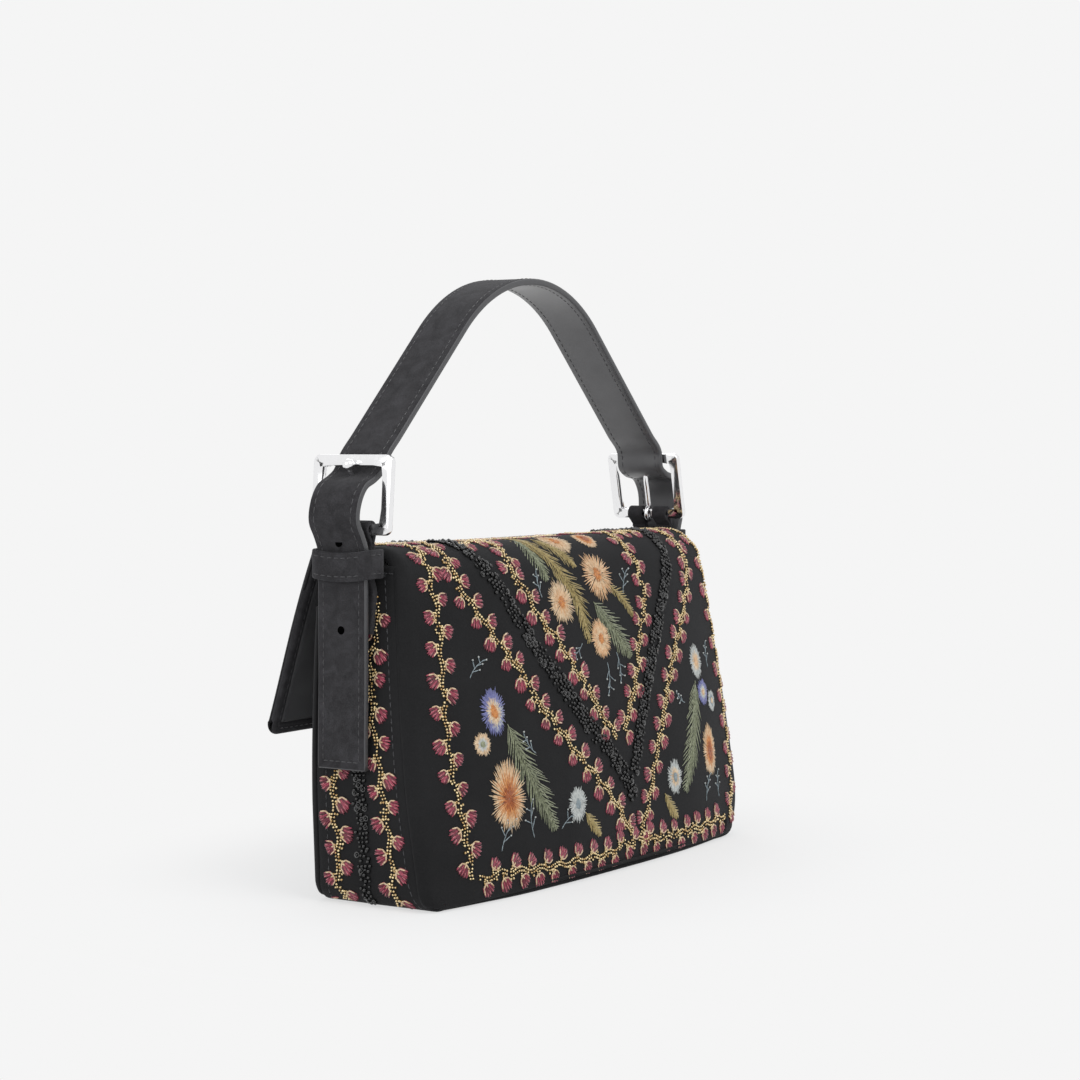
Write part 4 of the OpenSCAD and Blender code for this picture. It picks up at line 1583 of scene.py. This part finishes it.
@dataclass
class Tabs:
    """The leather tabs folded round the heel bars, and the keeper loops."""

    path: StrapPath
    strip: Strip
    width: float = 21.0
    gap: float = 3.0
    leather: float = 1.6
    loop_r: float = 2.16
    tab_x: float = 128.3
    lift_z: float = 133.6
    foot_z: float = 112.0
    keeper_z: float = 135.0
    keeper_h: float = 12.0
    keeper_t: float = 1.8
    keeper_r: float = 3.7
    keeper_sag: float = 1.5

    def tab(self, side: int, place: str) -> None:
        """Builds one tab from its sewn foot to the loop round the heel bar.

        Args:
            side: 1 at the near end, -1 at the far end.
            place: near or far.
        """
        end_x, y, t = self.strip.cover.end_x, self.path.end_y(side), self.leather
        line = [(end_x(z, side) + t, z) for z in np.linspace(self.foot_z, self.lift_z - 6, 10)]
        line += [(end_x(self.lift_z - 4, side) + t + 0.4, self.lift_z - 4), (self.tab_x - 0.6, self.lift_z - 0.5),
                 (self.tab_x, self.keeper_z), (self.tab_x, 141.0), (self.tab_x, 148.3)]
        points = curve([Vector(p) for p in line], 3)

        def at(i: int, across: float, out: float) -> Vector:
            """Point of the stem."""
            p = beside(points, i, out)
            return Vector((side * p.x, y + across, p.y))

        half = self.width / 2
        bm = swept(band_section(half, -t, t, 0.7), range(len(points)), at)
        stem = piece_from(f"tab_{place}_stem", bm, SUEDE, sharp=50)
        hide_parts("tab_" + place)
        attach(stem, Body.BAG.value)
        for part, y0, y1 in (("back", self.gap, half), ("front", -half, -self.gap)):
            piece = piece_from(f"tab_loop_{part}_{place}", self.loop(side, y0, y1), SUEDE, sharp=50)
            if part == "back":
                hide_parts("tab_loop_" + place)
            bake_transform(piece)

    def loop(self, side: int, y0: float, y1: float) -> Mesh:
        """Leather round the heel bar, on one side of the tongue.

        Args:
            side: 1 at the near end, -1 at the far end.
            y0: Lower edge across.
            y1: Upper edge across.

        Returns:
            The mesh.
        """
        t, heel = self.leather, Vector((self.path.span, self.path.heel_z))
        stem = self.path.in_plane(self.tab_x, side)
        up = [Vector((stem + t / 2, heel.y - drop)) for drop in (6.6, 5)]
        path = up + [heel + toward(q, self.loop_r + t / 2) for q in np.radians(np.linspace(-25, 205, 22))]
        path += [Vector((p.x - t, p.y)) for p in reversed(up)]

        def at(i: int, across: float, out: float) -> Vector:
            """Point of the loop."""
            p = beside(path, i, out)
            return self.path.world @ Vector((side * p.x, (y0 + y1) / 2 + across, p.y))

        return swept(band_section((y1 - y0) / 2, -t / 2, t / 2, 0.5, 5), range(len(path)), at)

    def keeper(self, side: int, place: str) -> None:
        """Builds one keeper loop with rolled edges and two rows of stitches.

        Args:
            side: 1 at the near end, -1 at the far end.
            place: near or far.
        """
        low, high = (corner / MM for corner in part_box("keeper_" + place))
        middle, half = (low + high) / 2, (high - low) / 2 + Vector((0, 0.8, 0))
        t, r, tall = self.keeper_t, self.keeper_r, self.keeper_h / 2
        path = []
        for sx, sy, start, run in ((1, 1, 0, half.x - r), (-1, 1, 90, half.y - r), (-1, -1, 180, half.x - r),
                                   (1, -1, 270, half.y - r)):
            corner = Vector((middle.x + sx * (half.x - r), middle.y + sy * (half.y - r)))
            path += [corner + toward(radians(start + q), r - t / 2) for q in np.linspace(0, 90, 5)]
            end = path[-1]
            path += [end + toward(radians(start + 180), run * k / 5) for k in range(1, 10)]

        def at(i: int, up: float, out: float) -> Vector:
            """Point of the keeper."""
            p = beside(path, i, out, ring=True)
            sag = (1 - ((p.y - middle.y) / half.y) ** 2) * smooth((side * (p.x - middle.x)) / half.x)
            return Vector((p.x, p.y, low.z + tall + up - self.keeper_sag * sag))

        ring = Track([*path, path[0]])

        def rim(s: float, up: float) -> Vector:
            """Point just over the outer face at a distance round the keeper."""
            k, part = divmod(float(np.interp(s, ring.reach, range(len(path) + 1))), 1)
            a, b = (at(int(k) + i, up, t / 2 + 0.03) for i in (0, 1))
            return a * (1 - part) + b * part

        loop = swept(band_section(tall, -t / 2, t / 2, 0.75, 8), range(len(path) + 1), at)
        piece = piece_from("keeper_loop_" + place, loop, SUEDE, sharp=60)
        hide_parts("keeper_" + place)
        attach(piece, "keeper_" + place)
        places = []
        count = int(ring.length / 3.4)
        pitch = ring.length / count
        for j in range(count):
            k = int(np.interp((j + 0.5) * pitch, ring.reach, range(len(path) + 1)))
            for up in (2.2 - tall, tall - 2.2):
                a, b = (rim((j + share) * pitch, up) for share in (0.12, 0.88))
                places.append(stitch_at(a, b, at(k, up, t) - at(k, up, 0), *FINE))
        rows = repeated("keeper_stitches_" + place, stitch_shape(), places, GREY_THREAD)
        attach(rows, "keeper_" + place)

    def build(self) -> None:
        """Builds both tabs and both keepers."""
        for side, place in ENDS:
            self.tab(side, place)
            self.keeper(side, place)
        log.info("tabs and keepers: two of each")


# ------------------------------------------------------------------- embroidery


@dataclass
class Trail(Track):
    """Smooth line on the cloth."""

    def __post_init__(self) -> None:
        """Runs a curve through the points and measures it."""
        self.points = curve([Vector(p) for p in self.points], 6)
        super().__post_init__()

    def at(self, d: float, aside: float = 0.0) -> tuple[Vector, float]:
        """Point and direction of the line.

        Args:
            d: Distance along the line.
            aside: Distance to its left.

        Returns:
            The point and the direction in radians.
        """
        p, q0, q1 = (Vector(self.spot(k)) for k in (d, d - 0.8, d + 0.8))
        turn = atan2(q1.y - q0.y, q1.x - q0.x)
        return p + toward(turn + pi / 2, aside), turn


@dataclass
class Needlework:
    """Hand embroidery on one surface: threads, beads and sequins, gathered by colour."""

    name: str
    surface: Surface
    body: Body
    seed: int
    floor_gap: float = 1.4
    bead_pitch: float = 1.38
    row_pitch: float = 1.95
    lot: int = 5000
    sewn: dict[Finish, list[Matrix]] = field(default_factory=dict)

    def __post_init__(self) -> None:
        """Starts the hand's small unevenness."""
        self.rng = random.Random(self.seed)

    def normal(self, p: Vector) -> Vector:
        """Outward normal of the cloth at p."""
        up = self.surface(p.x, p.y + 0.4) - self.surface(p.x, p.y - 0.4)
        return up.cross(self.surface(p.x + 0.4, p.y) - self.surface(p.x - 0.4, p.y)).normalized()

    def keep(self, finish: Finish, place: Matrix) -> None:
        """Adds a place for a finish, unless it lies under the bottom edge, where the bag stands."""
        if place.translation.z > self.floor_gap:
            self.sewn.setdefault(finish, []).append(place)

    def stitch(self, thread: Finish, p: Vector, turn: float, length: float, width: float, lift: float = 0.12) -> None:
        """Sews one satin stitch.

        Args:
            thread: Its thread.
            p: Its middle.
            turn: Its direction.
            length: Its length.
            width: Its width.
            lift: Height over the cloth.
        """
        n, half = self.normal(p), toward(turn, length / 2)
        a, b = (self.surface(*(p + side * half)) + n * lift for side in (-1, 1))
        self.keep(thread, stitch_at(a, b, n, width, width * 0.8))

    def between(self, thread: Finish, a: Vector, b: Vector, width: float, lift: float) -> None:
        """Sews one satin stitch from a to b."""
        self.stitch(thread, (a + b) / 2, atan2((b - a).y, (b - a).x), (b - a).length, width, lift)

    def bead(self, glass: Finish, p: Vector, size: float) -> None:
        """Sews one round bead of a diameter on the cloth."""
        self.keep(glass, Matrix.Translation(self.surface(*p) + self.normal(p) * size * 0.36) @ Matrix.Scale(size, 4))

    def sequin(self, p: Vector, size: float) -> None:
        """Sews one cupped sequin of a diameter, a little tilted."""
        n = self.normal(p)
        lean = Vector([self.rng.gauss(0, 0.2) for _ in range(3)])
        spot = frame_at(self.surface(*p) + n * 0.35, Vector((n.y, n.z, n.x)).cross(n), n + lean)
        self.keep(BLACK_SEQUIN, spot @ Matrix.Scale(size / 2, 4))

    def bud(self, p: Vector, turn: float, size: float = 1.0) -> None:
        """Sews a rosebud: a cup of rose satin stitches held by cream sepals.

        Args:
            p: The bud's foot.
            turn: Direction in which it opens.
            size: Its scale.
        """
        along, across, rng = toward(turn), toward(turn + pi / 2), self.rng
        for i in range(8):
            k = i - 3.5
            q = turn + k * 0.07 + rng.uniform(-0.05, 0.05)
            long = size * (6.2 - 0.1 * k * k) * rng.uniform(0.92, 1.06)
            thread = ROSE_DEEP if i in (1, 4, 6) or rng.random() < 0.2 else ROSE
            middle = p + across * k * 0.62 * size + toward(q, long / 2 + 0.5 * size)
            self.stitch(thread, middle, q, long, 1.05 * size, 0.2)
        for k in (-1.7, 0.1, 1.8):
            self.stitch(ROSE_PALE, p + (along * 4.6 + across * k) * size, turn + k * 0.15, 2.3 * size, 0.5, 0.55)
        for side in (1, -1):
            low, high = turn + side * 1.15 * rng.uniform(0.9, 1.1), turn + side * 0.35
            knee = p + toward(low, 2.7 * size)
            self.stitch(CREAM, (p + knee) / 2, low, 3.2 * size, 0.95 * size, 0.4)
            self.stitch(CREAM, knee + toward(high, 1.3 * size), high, 3.3 * size, 0.8 * size, 0.5)
        self.stitch(CREAM, p + along * 0.9, turn, 2.4 * size, 0.9 * size, 0.5)

    def vine(self, line: Sequence[Pair], pitch: float = 6.6) -> None:
        """Sews a beaded vine with rosebuds on both sides by turns.

        Args:
            line: Points of the vine.
            pitch: Distance from bud to bud.
        """
        trail, rng, d = Trail(line), self.rng, 0.4
        while d < trail.length:
            for row, share in ((-0.75, 0.95), (0.75, 0.9), (2.1, 0.14), (-2.0, 0.12)):
                if rng.random() < share:
                    wander = 0.8 * sin(d / 2.1 + self.seed)
                    p, _ = trail.at(d + rng.uniform(-0.2, 0.2), row + wander + rng.uniform(-0.18, 0.18))
                    self.bead(GOLD_BEAD, p, rng.uniform(1.0, 1.3))
            d += self.bead_pitch
        d, k = pitch * 0.5, 0
        while d < trail.length - 1.5:
            side = -1 if k % 2 else 1
            _, turn = trail.at(d)
            out = turn + side * rng.uniform(0.75, 1.25)
            foot, _ = trail.at(d + 0.6, side * 2.2)
            self.bud(foot, out, rng.uniform(0.82, 1.02))
            for step in (1.3, 2.2):
                self.bead(GOLD_BEAD, trail.at(d, side * step)[0], 1.0)
            d += pitch * rng.uniform(0.88, 1.12)
            k += 1

    def band(self, line: Sequence[Pair], width: float = 8.0) -> None:
        """Sews an uneven band of black sequins and beads.

        Args:
            line: Points of its middle.
            width: Width of the band.
        """
        trail, rng, d = Trail(line), self.rng, 0.5
        while d < trail.length:
            reach = width / 2 * rng.uniform(0.75, 1.1)
            aside = -reach + rng.uniform(0, 0.8)
            while aside < reach:
                p, _ = trail.at(d + rng.uniform(-0.5, 0.5), aside)
                if rng.random() < 0.16:
                    self.sequin(p, rng.uniform(2.5, 3.1))
                    self.bead(BLACK_BEAD, p, 1.1)
                elif rng.random() < 0.93:
                    self.bead(BLACK_BEAD, p, rng.uniform(1.3, 2.0))
                aside += rng.uniform(1.7, 2.3)
            d += self.row_pitch

    def aster(self, at: Pair, wide: float, high: float, outer: Finish, inner: Finish, core: Finish) -> None:
        """Sews a round flower of radiating threads.

        Args:
            at: Its middle.
            wide: Half width.
            high: Half height.
            outer: Thread of its rim.
            inner: Thread inside.
            core: Thread of its heart.
        """
        middle, rng = Vector(at), self.rng
        for thread, start, end, count, width in (
                (outer, 0.4, 1.05, 54, 0.55), (outer, 0.25, 0.9, 46, 0.6), (inner, 0.12, 0.68, 36, 0.5),
                (core, 0.0, 0.32, 20, 0.6)):
            for i in range(count):
                q = 2 * pi * (i + rng.uniform(-0.3, 0.3)) / count
                a, b = (middle + Vector((wide * k * cos(q), high * k * sin(q)))
                        for k in (start * rng.uniform(0.9, 1.1), end * rng.uniform(0.82, 1.08)))
                self.between(thread, a, b, width, 0.15 + 0.4 * max(0, 1 - end))

    def thistle(self, at: Pair, wide: float, high: float, turn: float = pi / 2) -> None:
        """Sews a tall flower: long cream filaments over an orange heart.

        Args:
            at: Its middle.
            wide: Half width.
            high: Half height.
            turn: Direction in which it opens.
        """
        rng, heart = self.rng, Vector(at) - toward(turn, high * 0.12)
        for thread, start, end, count in (
                (CREAM, 0.3, 1.0, 72), (PEACH, 0.2, 0.9, 60), (ORANGE, 0.1, 0.68, 50), (ORANGE_DEEP, 0.0, 0.42, 30)):
            for i in range(count):
                q = 2 * pi * (i + rng.uniform(-0.35, 0.35)) / count
                tall = high * (1 + 0.12 * cos(q))
                a, b = (heart + toward(turn, tall * k * cos(q)) + toward(turn + pi / 2, wide * k * sin(q))
                        for k in (start, end * rng.uniform(0.8, 1.06)))
                self.between(thread, a, b, 0.6, 0.15 + 0.45 * (1 - end))

    def fern(self, line: Sequence[Pair], width: float, thread: Finish, pitch: float = 1.9) -> None:
        """Sews a feathered leaf along a line.

        Args:
            line: Points of its midrib.
            width: Half width at its widest.
            thread: Its thread.
            pitch: Distance between strokes.
        """
        trail, d = Trail(line), 0.0
        while d < trail.length:
            share = d / trail.length  # of the leaf, from its foot
            long = width * 1.5 * (0.35 + sin(pi * (0.12 + 0.88 * share)) ** 0.7) * (1 - 0.3 * share)
            p, turn = trail.at(d)
            self.stitch(thread, p, turn, 2.6, 0.6, 0.35)
            for side in (1, -1):
                for k, bend, share, lift in ((0.0, 0.66, 1.0, 0.15), (0.5, 0.42, 0.65, 0.35)):
                    q = turn + side * (bend + self.rng.uniform(-0.08, 0.08))
                    reach = long * self.rng.uniform(0.8, 1.12) * share
                    self.stitch(thread, p + toward(turn, k * pitch) + toward(q, reach / 2), q, reach, 0.55, lift)
            d += pitch

    def sprig(self, at: Pair, turn: float, size: float) -> None:
        """Sews a thin branching twig with a knot at each tip.

        Args:
            at: Its foot.
            turn: Its direction.
            size: Its length.
        """
        foot = Vector(at)
        for k in range(6):
            p = foot + toward(turn + 0.06 * k, size * (k + 0.5) / 6)
            self.stitch(GREY_BLUE, p, turn + 0.12 * k, size / 5, 0.5)
            if k:
                q = turn + (0.8 if k % 2 else -0.8)
                long = size * 0.36 * (1.1 - k / 8)
                self.stitch(GREY_BLUE, p + toward(q, long / 2), q, long, 0.5)
                self.bead(PALE, p + toward(q, long), 0.9)

    def rows(self, line: Sequence[Pair], pitch: float = 3.3, length: float = 2.3) -> None:
        """Sews a straight seam row in black thread along a line."""
        for p, q in stepped([Vector(k) for k in line], pitch, length):
            self.stitch(BLACK_THREAD, (p + q) / 2, atan2((q - p).y, (q - p).x), length, 0.55, 0.05)

    def finish(self) -> None:
        """Makes one piece for each thread, bead and sequin, or more where it has very many."""
        shapes = {GlassBead: bead_shape, Sequin: sequin_shape}
        for finish, places in self.sewn.items():
            for part in range(0, len(places), self.lot):
                name = f"{self.name}_{finish.name}" + (f"_{part // self.lot + 1}" if part else "")
                piece = repeated(name, shapes.get(type(finish), stitch_shape)(), places[part:part + self.lot], finish)
                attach(piece, self.body.value)
        log.info("%s: %d threads, beads and sequins in %d finishes", self.name, sum(map(len, self.sewn.values())),
                 len(self.sewn))


@dataclass
class Embroidery:
    """The floral work on the cover, the flap and both gussets, laid out in millimetres."""

    cover: Cover
    strip: Strip
    seam_in: float = 5.6

    def build(self) -> None:
        """Embroiders every face."""
        self.back()
        self.flap()
        for side, place in ENDS:
            self.gusset(side, place)

    def back(self) -> None:
        """Back and top: border vines, a beaded V between two sequin bands, and three bouquets."""
        work = Needlework("back", self.cover.point, Body.BAG, 11)
        work.vine([(108, 192), (107, 172), (106, 152), (109, 134), (108, 124), (109, 111), (110, 102), (111, 91),
                   (112, 80), (112, 70), (112, 56), (110, 44), (109, 35), (108, 24), (107, 13)])
        work.vine([(103, 12), (88, 13), (71, 12), (50, 11), (27, 11), (6, 11), (-4, 13), (-12, 12)], 5.7)
        work.vine([(-15, 13), (-47, 11), (-74, 11), (-104, 12)], 5.7)
        work.vine([(92, 190), (93, 170), (94, 150), (94, 136), (83, 119), (73, 106), (62, 93), (55, 82), (44, 71),
                   (32, 58), (18, 46), (4, 33), (-5, 22), (-9, 16)], 5.8)
        work.vine([(62, 190), (57, 170), (52, 149), (56, 138), (49, 129), (45, 119), (34, 108), (26, 96), (16, 84),
                   (8, 71), (-3, 61)], 5.8)
        work.band([(83, 188), (80, 168), (77, 150), (65, 126), (52, 107), (37, 89), (22, 71), (7, 57), (-7, 43),
                   (-14, 31)])
        work.vine([(-55, 190), (-50, 170), (-45, 148), (-46, 132), (-45, 119), (-36, 106), (-30, 94), (-24, 82),
                   (-16, 72), (-10, 62)], 5.8)
        work.vine([(-94, 188), (-93, 168), (-95, 148), (-96, 132), (-87, 118), (-77, 106), (-64, 92), (-51, 74),
                   (-43, 60), (-33, 43), (-28, 32), (-21, 21), (-18, 16)], 5.8)
        work.band([(-84, 190), (-80, 170), (-78, 152), (-74, 136), (-62, 120), (-50, 104), (-39, 89), (-29, 73),
                   (-22, 59), (-15, 44)])
        work.vine([(-102, 192), (-108, 170), (-113, 150), (-117, 132), (-118, 118), (-119, 103), (-120, 87),
                   (-120, 68), (-120, 50), (-119, 34), (-116, 20), (-109, 10)])
        work.vine([(76, 158), (66, 160), (54, 163)], 6.0)
        work.vine([(-54, 160), (-64, 162), (-74, 160)], 6.0)
        work.vine([(30, 181), (10, 184), (-12, 182), (-34, 184)], 6.4)
        work.aster((84, 80), 7.5, 10.5, VIOLET, CREAM, ORANGE)
        work.aster((83, 79), 5.5, 7.5, PALE, CREAM, ORANGE)
        work.aster((93, 67), 5, 5, CREAM, PALE, SAGE)
        work.thistle((81, 45), 12, 16.5)
        work.fern([(76, 73), (70, 60), (61, 44), (51, 28)], 7.5, SAGE)
        work.aster((33, 35), 7, 8, PALE, PALE, GREY_BLUE)
        work.fern([(27, 30), (22, 25), (17, 20)], 3.2, OLIVE, 1.1)
        for at, turn, size in (((88, 22), 1.9, 15), ((66, 25), 1.2, 15), ((46, 26), 2.4, 14), ((60, 60), 0.6, 11),
                               ((95, 95), 2.2, 12)):
            work.sprig(at, turn, size)
        work.aster((-10, 134), 12, 12, PEACH, CREAM, ORANGE)
        work.aster((24, 123), 9.5, 10, CREAM, PEACH, ORANGE)
        work.aster((-2, 105), 8, 9, PEACH, CREAM, ORANGE)
        work.aster((4, 157), 10, 10, CREAM, PEACH, ORANGE)
        work.fern([(30, 168), (27, 154), (22, 140), (11, 124), (8, 106)], 7.5, OLIVE)
        work.fern([(18, 160), (12, 150), (6, 140)], 5, OLIVE)
        work.fern([(32, 160), (33, 148), (31, 134)], 5, SAGE)
        work.fern([(-2, 121), (-13, 110), (-24, 97)], 7, SAGE)
        work.fern([(-18, 128), (-27, 122), (-33, 114)], 3.5, OLIVE)
        work.thistle((-22, 158), 7, 10, 2.2)
        for at, turn, size in (((14, 104), -0.8, 11), ((-4, 94), -1.7, 14), ((-13, 98), -1.9, 13),
                               ((-28, 124), 1.9, 14), ((38, 126), 1.3, 12), ((30, 176), 1.0, 14),
                               ((-10, 178), 1.7, 14)):
            work.sprig(at, turn, size)
        work.aster((-89, 88), 7, 8, PALE, CREAM, PEACH)
        work.aster((-92, 73), 6, 6, VIOLET, PALE, CREAM)
        work.aster((-102, 68), 4.5, 5, PALE, GREY_BLUE, CREAM)
        work.fern([(-84, 78), (-78, 62), (-70, 46), (-62, 31)], 7.5, SAGE)
        work.thistle((-92, 46), 8.5, 13)
        work.aster((-52, 37), 7, 8, PALE, CREAM, GREY_BLUE)
        work.fern([(-42, 30), (-47, 24), (-52, 19)], 3.2, OLIVE, 1.1)
        for at, turn, size in (((-84, 22), 1.7, 13), ((-100, 22), 1.3, 12), ((-104, 84), 1.4, 12), ((-70, 70), 0.3, 9)):
            work.sprig(at, turn, size)
        work.finish()

    def flap(self) -> None:
        """Flap: the back's layout again, seen only from the front."""
        c = self.cover
        work = Needlework("flap", lambda a, d: c.point(a, c.flap_b(a, d)), Body.FLAP, 23)

        def on(side: int, *line: Pair) -> list[Pair]:
            """Points on one side of the flap."""
            return [(side * x, d) for x, d in line]

        for side in (1, -1):
            work.vine(on(side, (108, 4), (110, 30), (113, 55), (108, 70), (92, 72), (66, 71), (40, 72), (20, 70),
                         (6, 73)), 5.8)
            work.vine(on(side, (60, 5), (48, 22), (34, 38), (20, 52), (5, 60)), 5.8)
            work.band(on(side, (92, 6), (78, 22), (60, 40), (40, 56), (22, 64)), 7.5)
            work.fern(on(side, (74, 62), (82, 50), (86, 38)), 4.2, SAGE)
            work.aster((side * 94, 34), 7, 7.5, VIOLET if side > 0 else PALE, CREAM, ORANGE)
            work.sprig((side * 97, 60), -1.6, 13)
            work.sprig((side * 70, 10), 2.4 if side > 0 else 0.8, 13)
            work.vine(on(side, (96, 2), (80, 8), (66, 3)), 6.0)
            work.aster((side * 84, 62), 4, 4, PALE, CREAM, PEACH)
            work.fern(on(side, (8, 12), (20, 20), (26, 32)), 4.0, OLIVE)
        work.thistle((0, 36), 8.5, 13, -pi / 2)
        work.fern([(0, 6), (-1, 16), (0, 24)], 5, OLIVE)
        work.aster((17, 16), 7, 7, CREAM, PEACH, ORANGE)
        work.aster((-16, 18), 7, 7, PEACH, CREAM, ORANGE)
        work.finish()

    def gusset(self, side: int, place: str) -> None:
        """Gusset: two bud vines with a sequin band between them, and the seam rows.

        Args:
            side: 1 at the near end, -1 at the far end.
            place: near or far.
        """
        strip = self.strip

        def surface(a: float, b: float) -> Vector:
            """Point of the gusset; a from its middle towards the front at the near end."""
            y0, y1 = strip.edges(side * b)
            return strip.point(side * b, min(max(0.5 - side * a / (y1 - y0), 0.01), 0.99))

        def width(s: float) -> float:
            """Width of the gusset at s."""
            y0, y1 = strip.edges(side * s)
            return y1 - y0

        def spots(*line: Pair) -> list[Pair]:
            """Places for shares of the width, 1 at the back seam, and distances along."""
            return [(side * (0.5 - t) * width(s), s) for t, s in line]

        work = Needlework("gusset_" + place, surface, Body.BAG, 31 + side)
        top = strip.top_s[side > 0]
        work.vine(spots((0.72, top - 10), (0.72, 239), (0.65, 231), (0.66, 220), (0.66, 210), (0.68, 199), (0.71, 190),
                        (0.73, 178), (0.75, 166), (0.76, 152), (0.74, 138), (0.72, 126), (0.70, 117)), 6.4)
        work.vine(spots((0.24, top - 12), (0.22, 225), (0.24, 205), (0.22, 182), (0.20, 173), (0.20, 163), (0.23, 153),
                        (0.20, 143), (0.24, 132), (0.22, 120)), 6.4)
        work.band(spots((0.46, 232), (0.48, 200), (0.48, 175), (0.48, 151), (0.46, 125)), 6.5)
        for row in (-1, 1):
            work.rows([(side * row * (width(s) / 2 - self.seam_in), s) for s in np.linspace(115, top - 2, 30)])
        end = width(top - 3) / 2 - 1
        work.rows([(k, top - 3.2) for k in np.linspace(-end, end, 8)], 2.8, 2.0)
        work.finish()


# ----------------------------------------------------------------------- studio


@dataclass
class Studio:
    """Pale floor and backdrop, soft lights and the camera."""

    paper: str = "#f5f5f5"
    position: Triple = (0.92693, 0.60823, 0.19199)
    yaw: float = 213.43
    pitch: float = 2.36
    lens: float = 81.79

    def floor(self) -> None:
        """Builds the floor, which keeps the shadow near the bag and is plain paper elsewhere."""
        bm = bmesh.new()
        bmesh.ops.create_grid(bm, x_segments=1, y_segments=1, size=12000)
        floor = piece_from("studio_floor", bm, None)
        paper = bpy.data.materials.new("studio_paper")
        paper.use_nodes = True
        tree = paper.node_tree
        shader = tree.nodes["Principled BSDF"]
        fill(tree, shader, {"Base Color": linear("#ececec"), "Roughness": 0.9, "Specular IOR Level": 0.1})
        source = add_node(tree, "TexCoord").outputs["Object"]
        place = add_node(tree, "Mapping", {"Vector": source, "Scale": (3.7, 4.8, 1)})
        near = add_node(tree, "TexGradient", {"Vector": place.outputs["Vector"]}, gradient_type="SPHERICAL")
        share = add_node(tree, "MapRange", {"Value": near.outputs["Fac"], 1: 0.0, 2: 0.6},
                         interpolation_type="SMOOTHSTEP")
        bright = add_node(tree, "BsdfDiffuse", {"Color": linear("#fefefe")})
        glow = add_node(tree, "Emission", {"Color": linear(self.paper), "Strength": 1.0})
        soft = add_node(tree, "MixShader", {0: 0.34, 1: glow.outputs[0], 2: bright.outputs[0]})
        mix = add_node(tree, "MixShader", {0: share.outputs[0], 1: glow.outputs[0], 2: soft.outputs[0]})
        final = add_node(tree, "MixShader", {0: self.looked_at(tree), 1: shader.outputs[0], 2: mix.outputs[0]})
        fill(tree, tree.nodes["Material Output"], {"Surface": final.outputs[0]})
        floor.data.materials.append(paper)

    def world(self) -> None:
        """Soft surround light, with the paper's colour for rays that see it."""
        world = bpy.data.worlds.new("studio")
        bpy.context.scene.world = world
        world.use_nodes = True
        tree = world.node_tree
        light = tree.nodes["Background"]
        fill(tree, light, {"Color": linear("#f4f6f8"), "Strength": 0.62})
        seen = add_node(tree, "Background", {"Color": linear(self.paper), "Strength": 1.0})
        mix = add_node(tree, "MixShader", {0: self.looked_at(tree), 1: light.outputs[0], 2: seen.outputs[0]})
        fill(tree, tree.nodes["World Output"], {"Surface": mix.outputs[0]})

    @staticmethod
    def looked_at(tree: Tree) -> Socket:
        """Gives 1 for rays that show the paper itself, in the camera, in a mirror or through something clear."""
        rays = add_node(tree, "LightPath").outputs
        seen = rays["Is Camera Ray"]
        for kind in ("Is Glossy Ray", "Is Transmission Ray"):
            seen = add_node(tree, "Math", {0: seen, 1: rays[kind]}, operation="MAXIMUM").outputs[0]
        return seen

    def lamp(self, name: str, at: Triple, size: float, power: float) -> None:
        """Adds a soft square lamp that faces the bag.

        Args:
            name: The lamp's name.
            at: Its place in metres.
            size: Its side in metres.
            power: Its power in watts.
        """
        data = bpy.data.lights.new(name, "AREA")
        data.shape = "SQUARE"
        data.size = size
        data.energy = power
        lamp = add_object(name, data)
        lamp.location = at
        lamp.rotation_euler = (Vector((0, 0, 0.1)) - Vector(at)).to_track_quat("-Z", "Y").to_euler()

    def camera(self) -> None:
        """Sets the camera to the photograph's angle."""
        data = bpy.data.cameras.new("camera")
        data.sensor_width = 36.0
        data.lens = self.lens
        data.clip_end = 100
        camera = add_object("camera", data)
        camera.location = self.position
        camera.rotation_euler = (radians(90 - self.pitch), 0, radians(self.yaw - 90))
        bpy.context.scene.camera = camera

    def build(self) -> None:
        """Builds the whole studio."""
        self.floor()
        self.world()
        self.lamp("key", (0.3, 1.9, 2.2), 1.6, 26)
        self.lamp("fill", (2.3, -0.4, 1.2), 1.6, 14)
        self.lamp("rim", (-1.6, -1.2, 1.9), 1.4, 10)
        self.camera()
        bpy.context.scene.view_settings.view_transform = "Standard"
        log.info("studio: floor, surround light, three lamps and the camera")


def main() -> None:
    """Builds the studio and the bag, and keeps both snap parts in satin nickel plate."""
    logging.basicConfig(level=logging.INFO, format="%(message)s")
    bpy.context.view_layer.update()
    Studio().build()
    cover = Cover()
    front = Front()
    strip = Strip(cover, front)
    path = StrapPath()
    BagBody(cover, front, strip).build()
    Flap(cover).build()
    Strap(path).build()
    Buckles(path).build()
    Tabs(path, strip).build()
    Embroidery(cover, strip).build()
    for name in ("snap_stud", "snap_socket"):
        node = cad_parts[name]
        node.data.materials.clear()
        node.data.materials.append(SNAP.material())


if __name__ == "__main__":
    main()
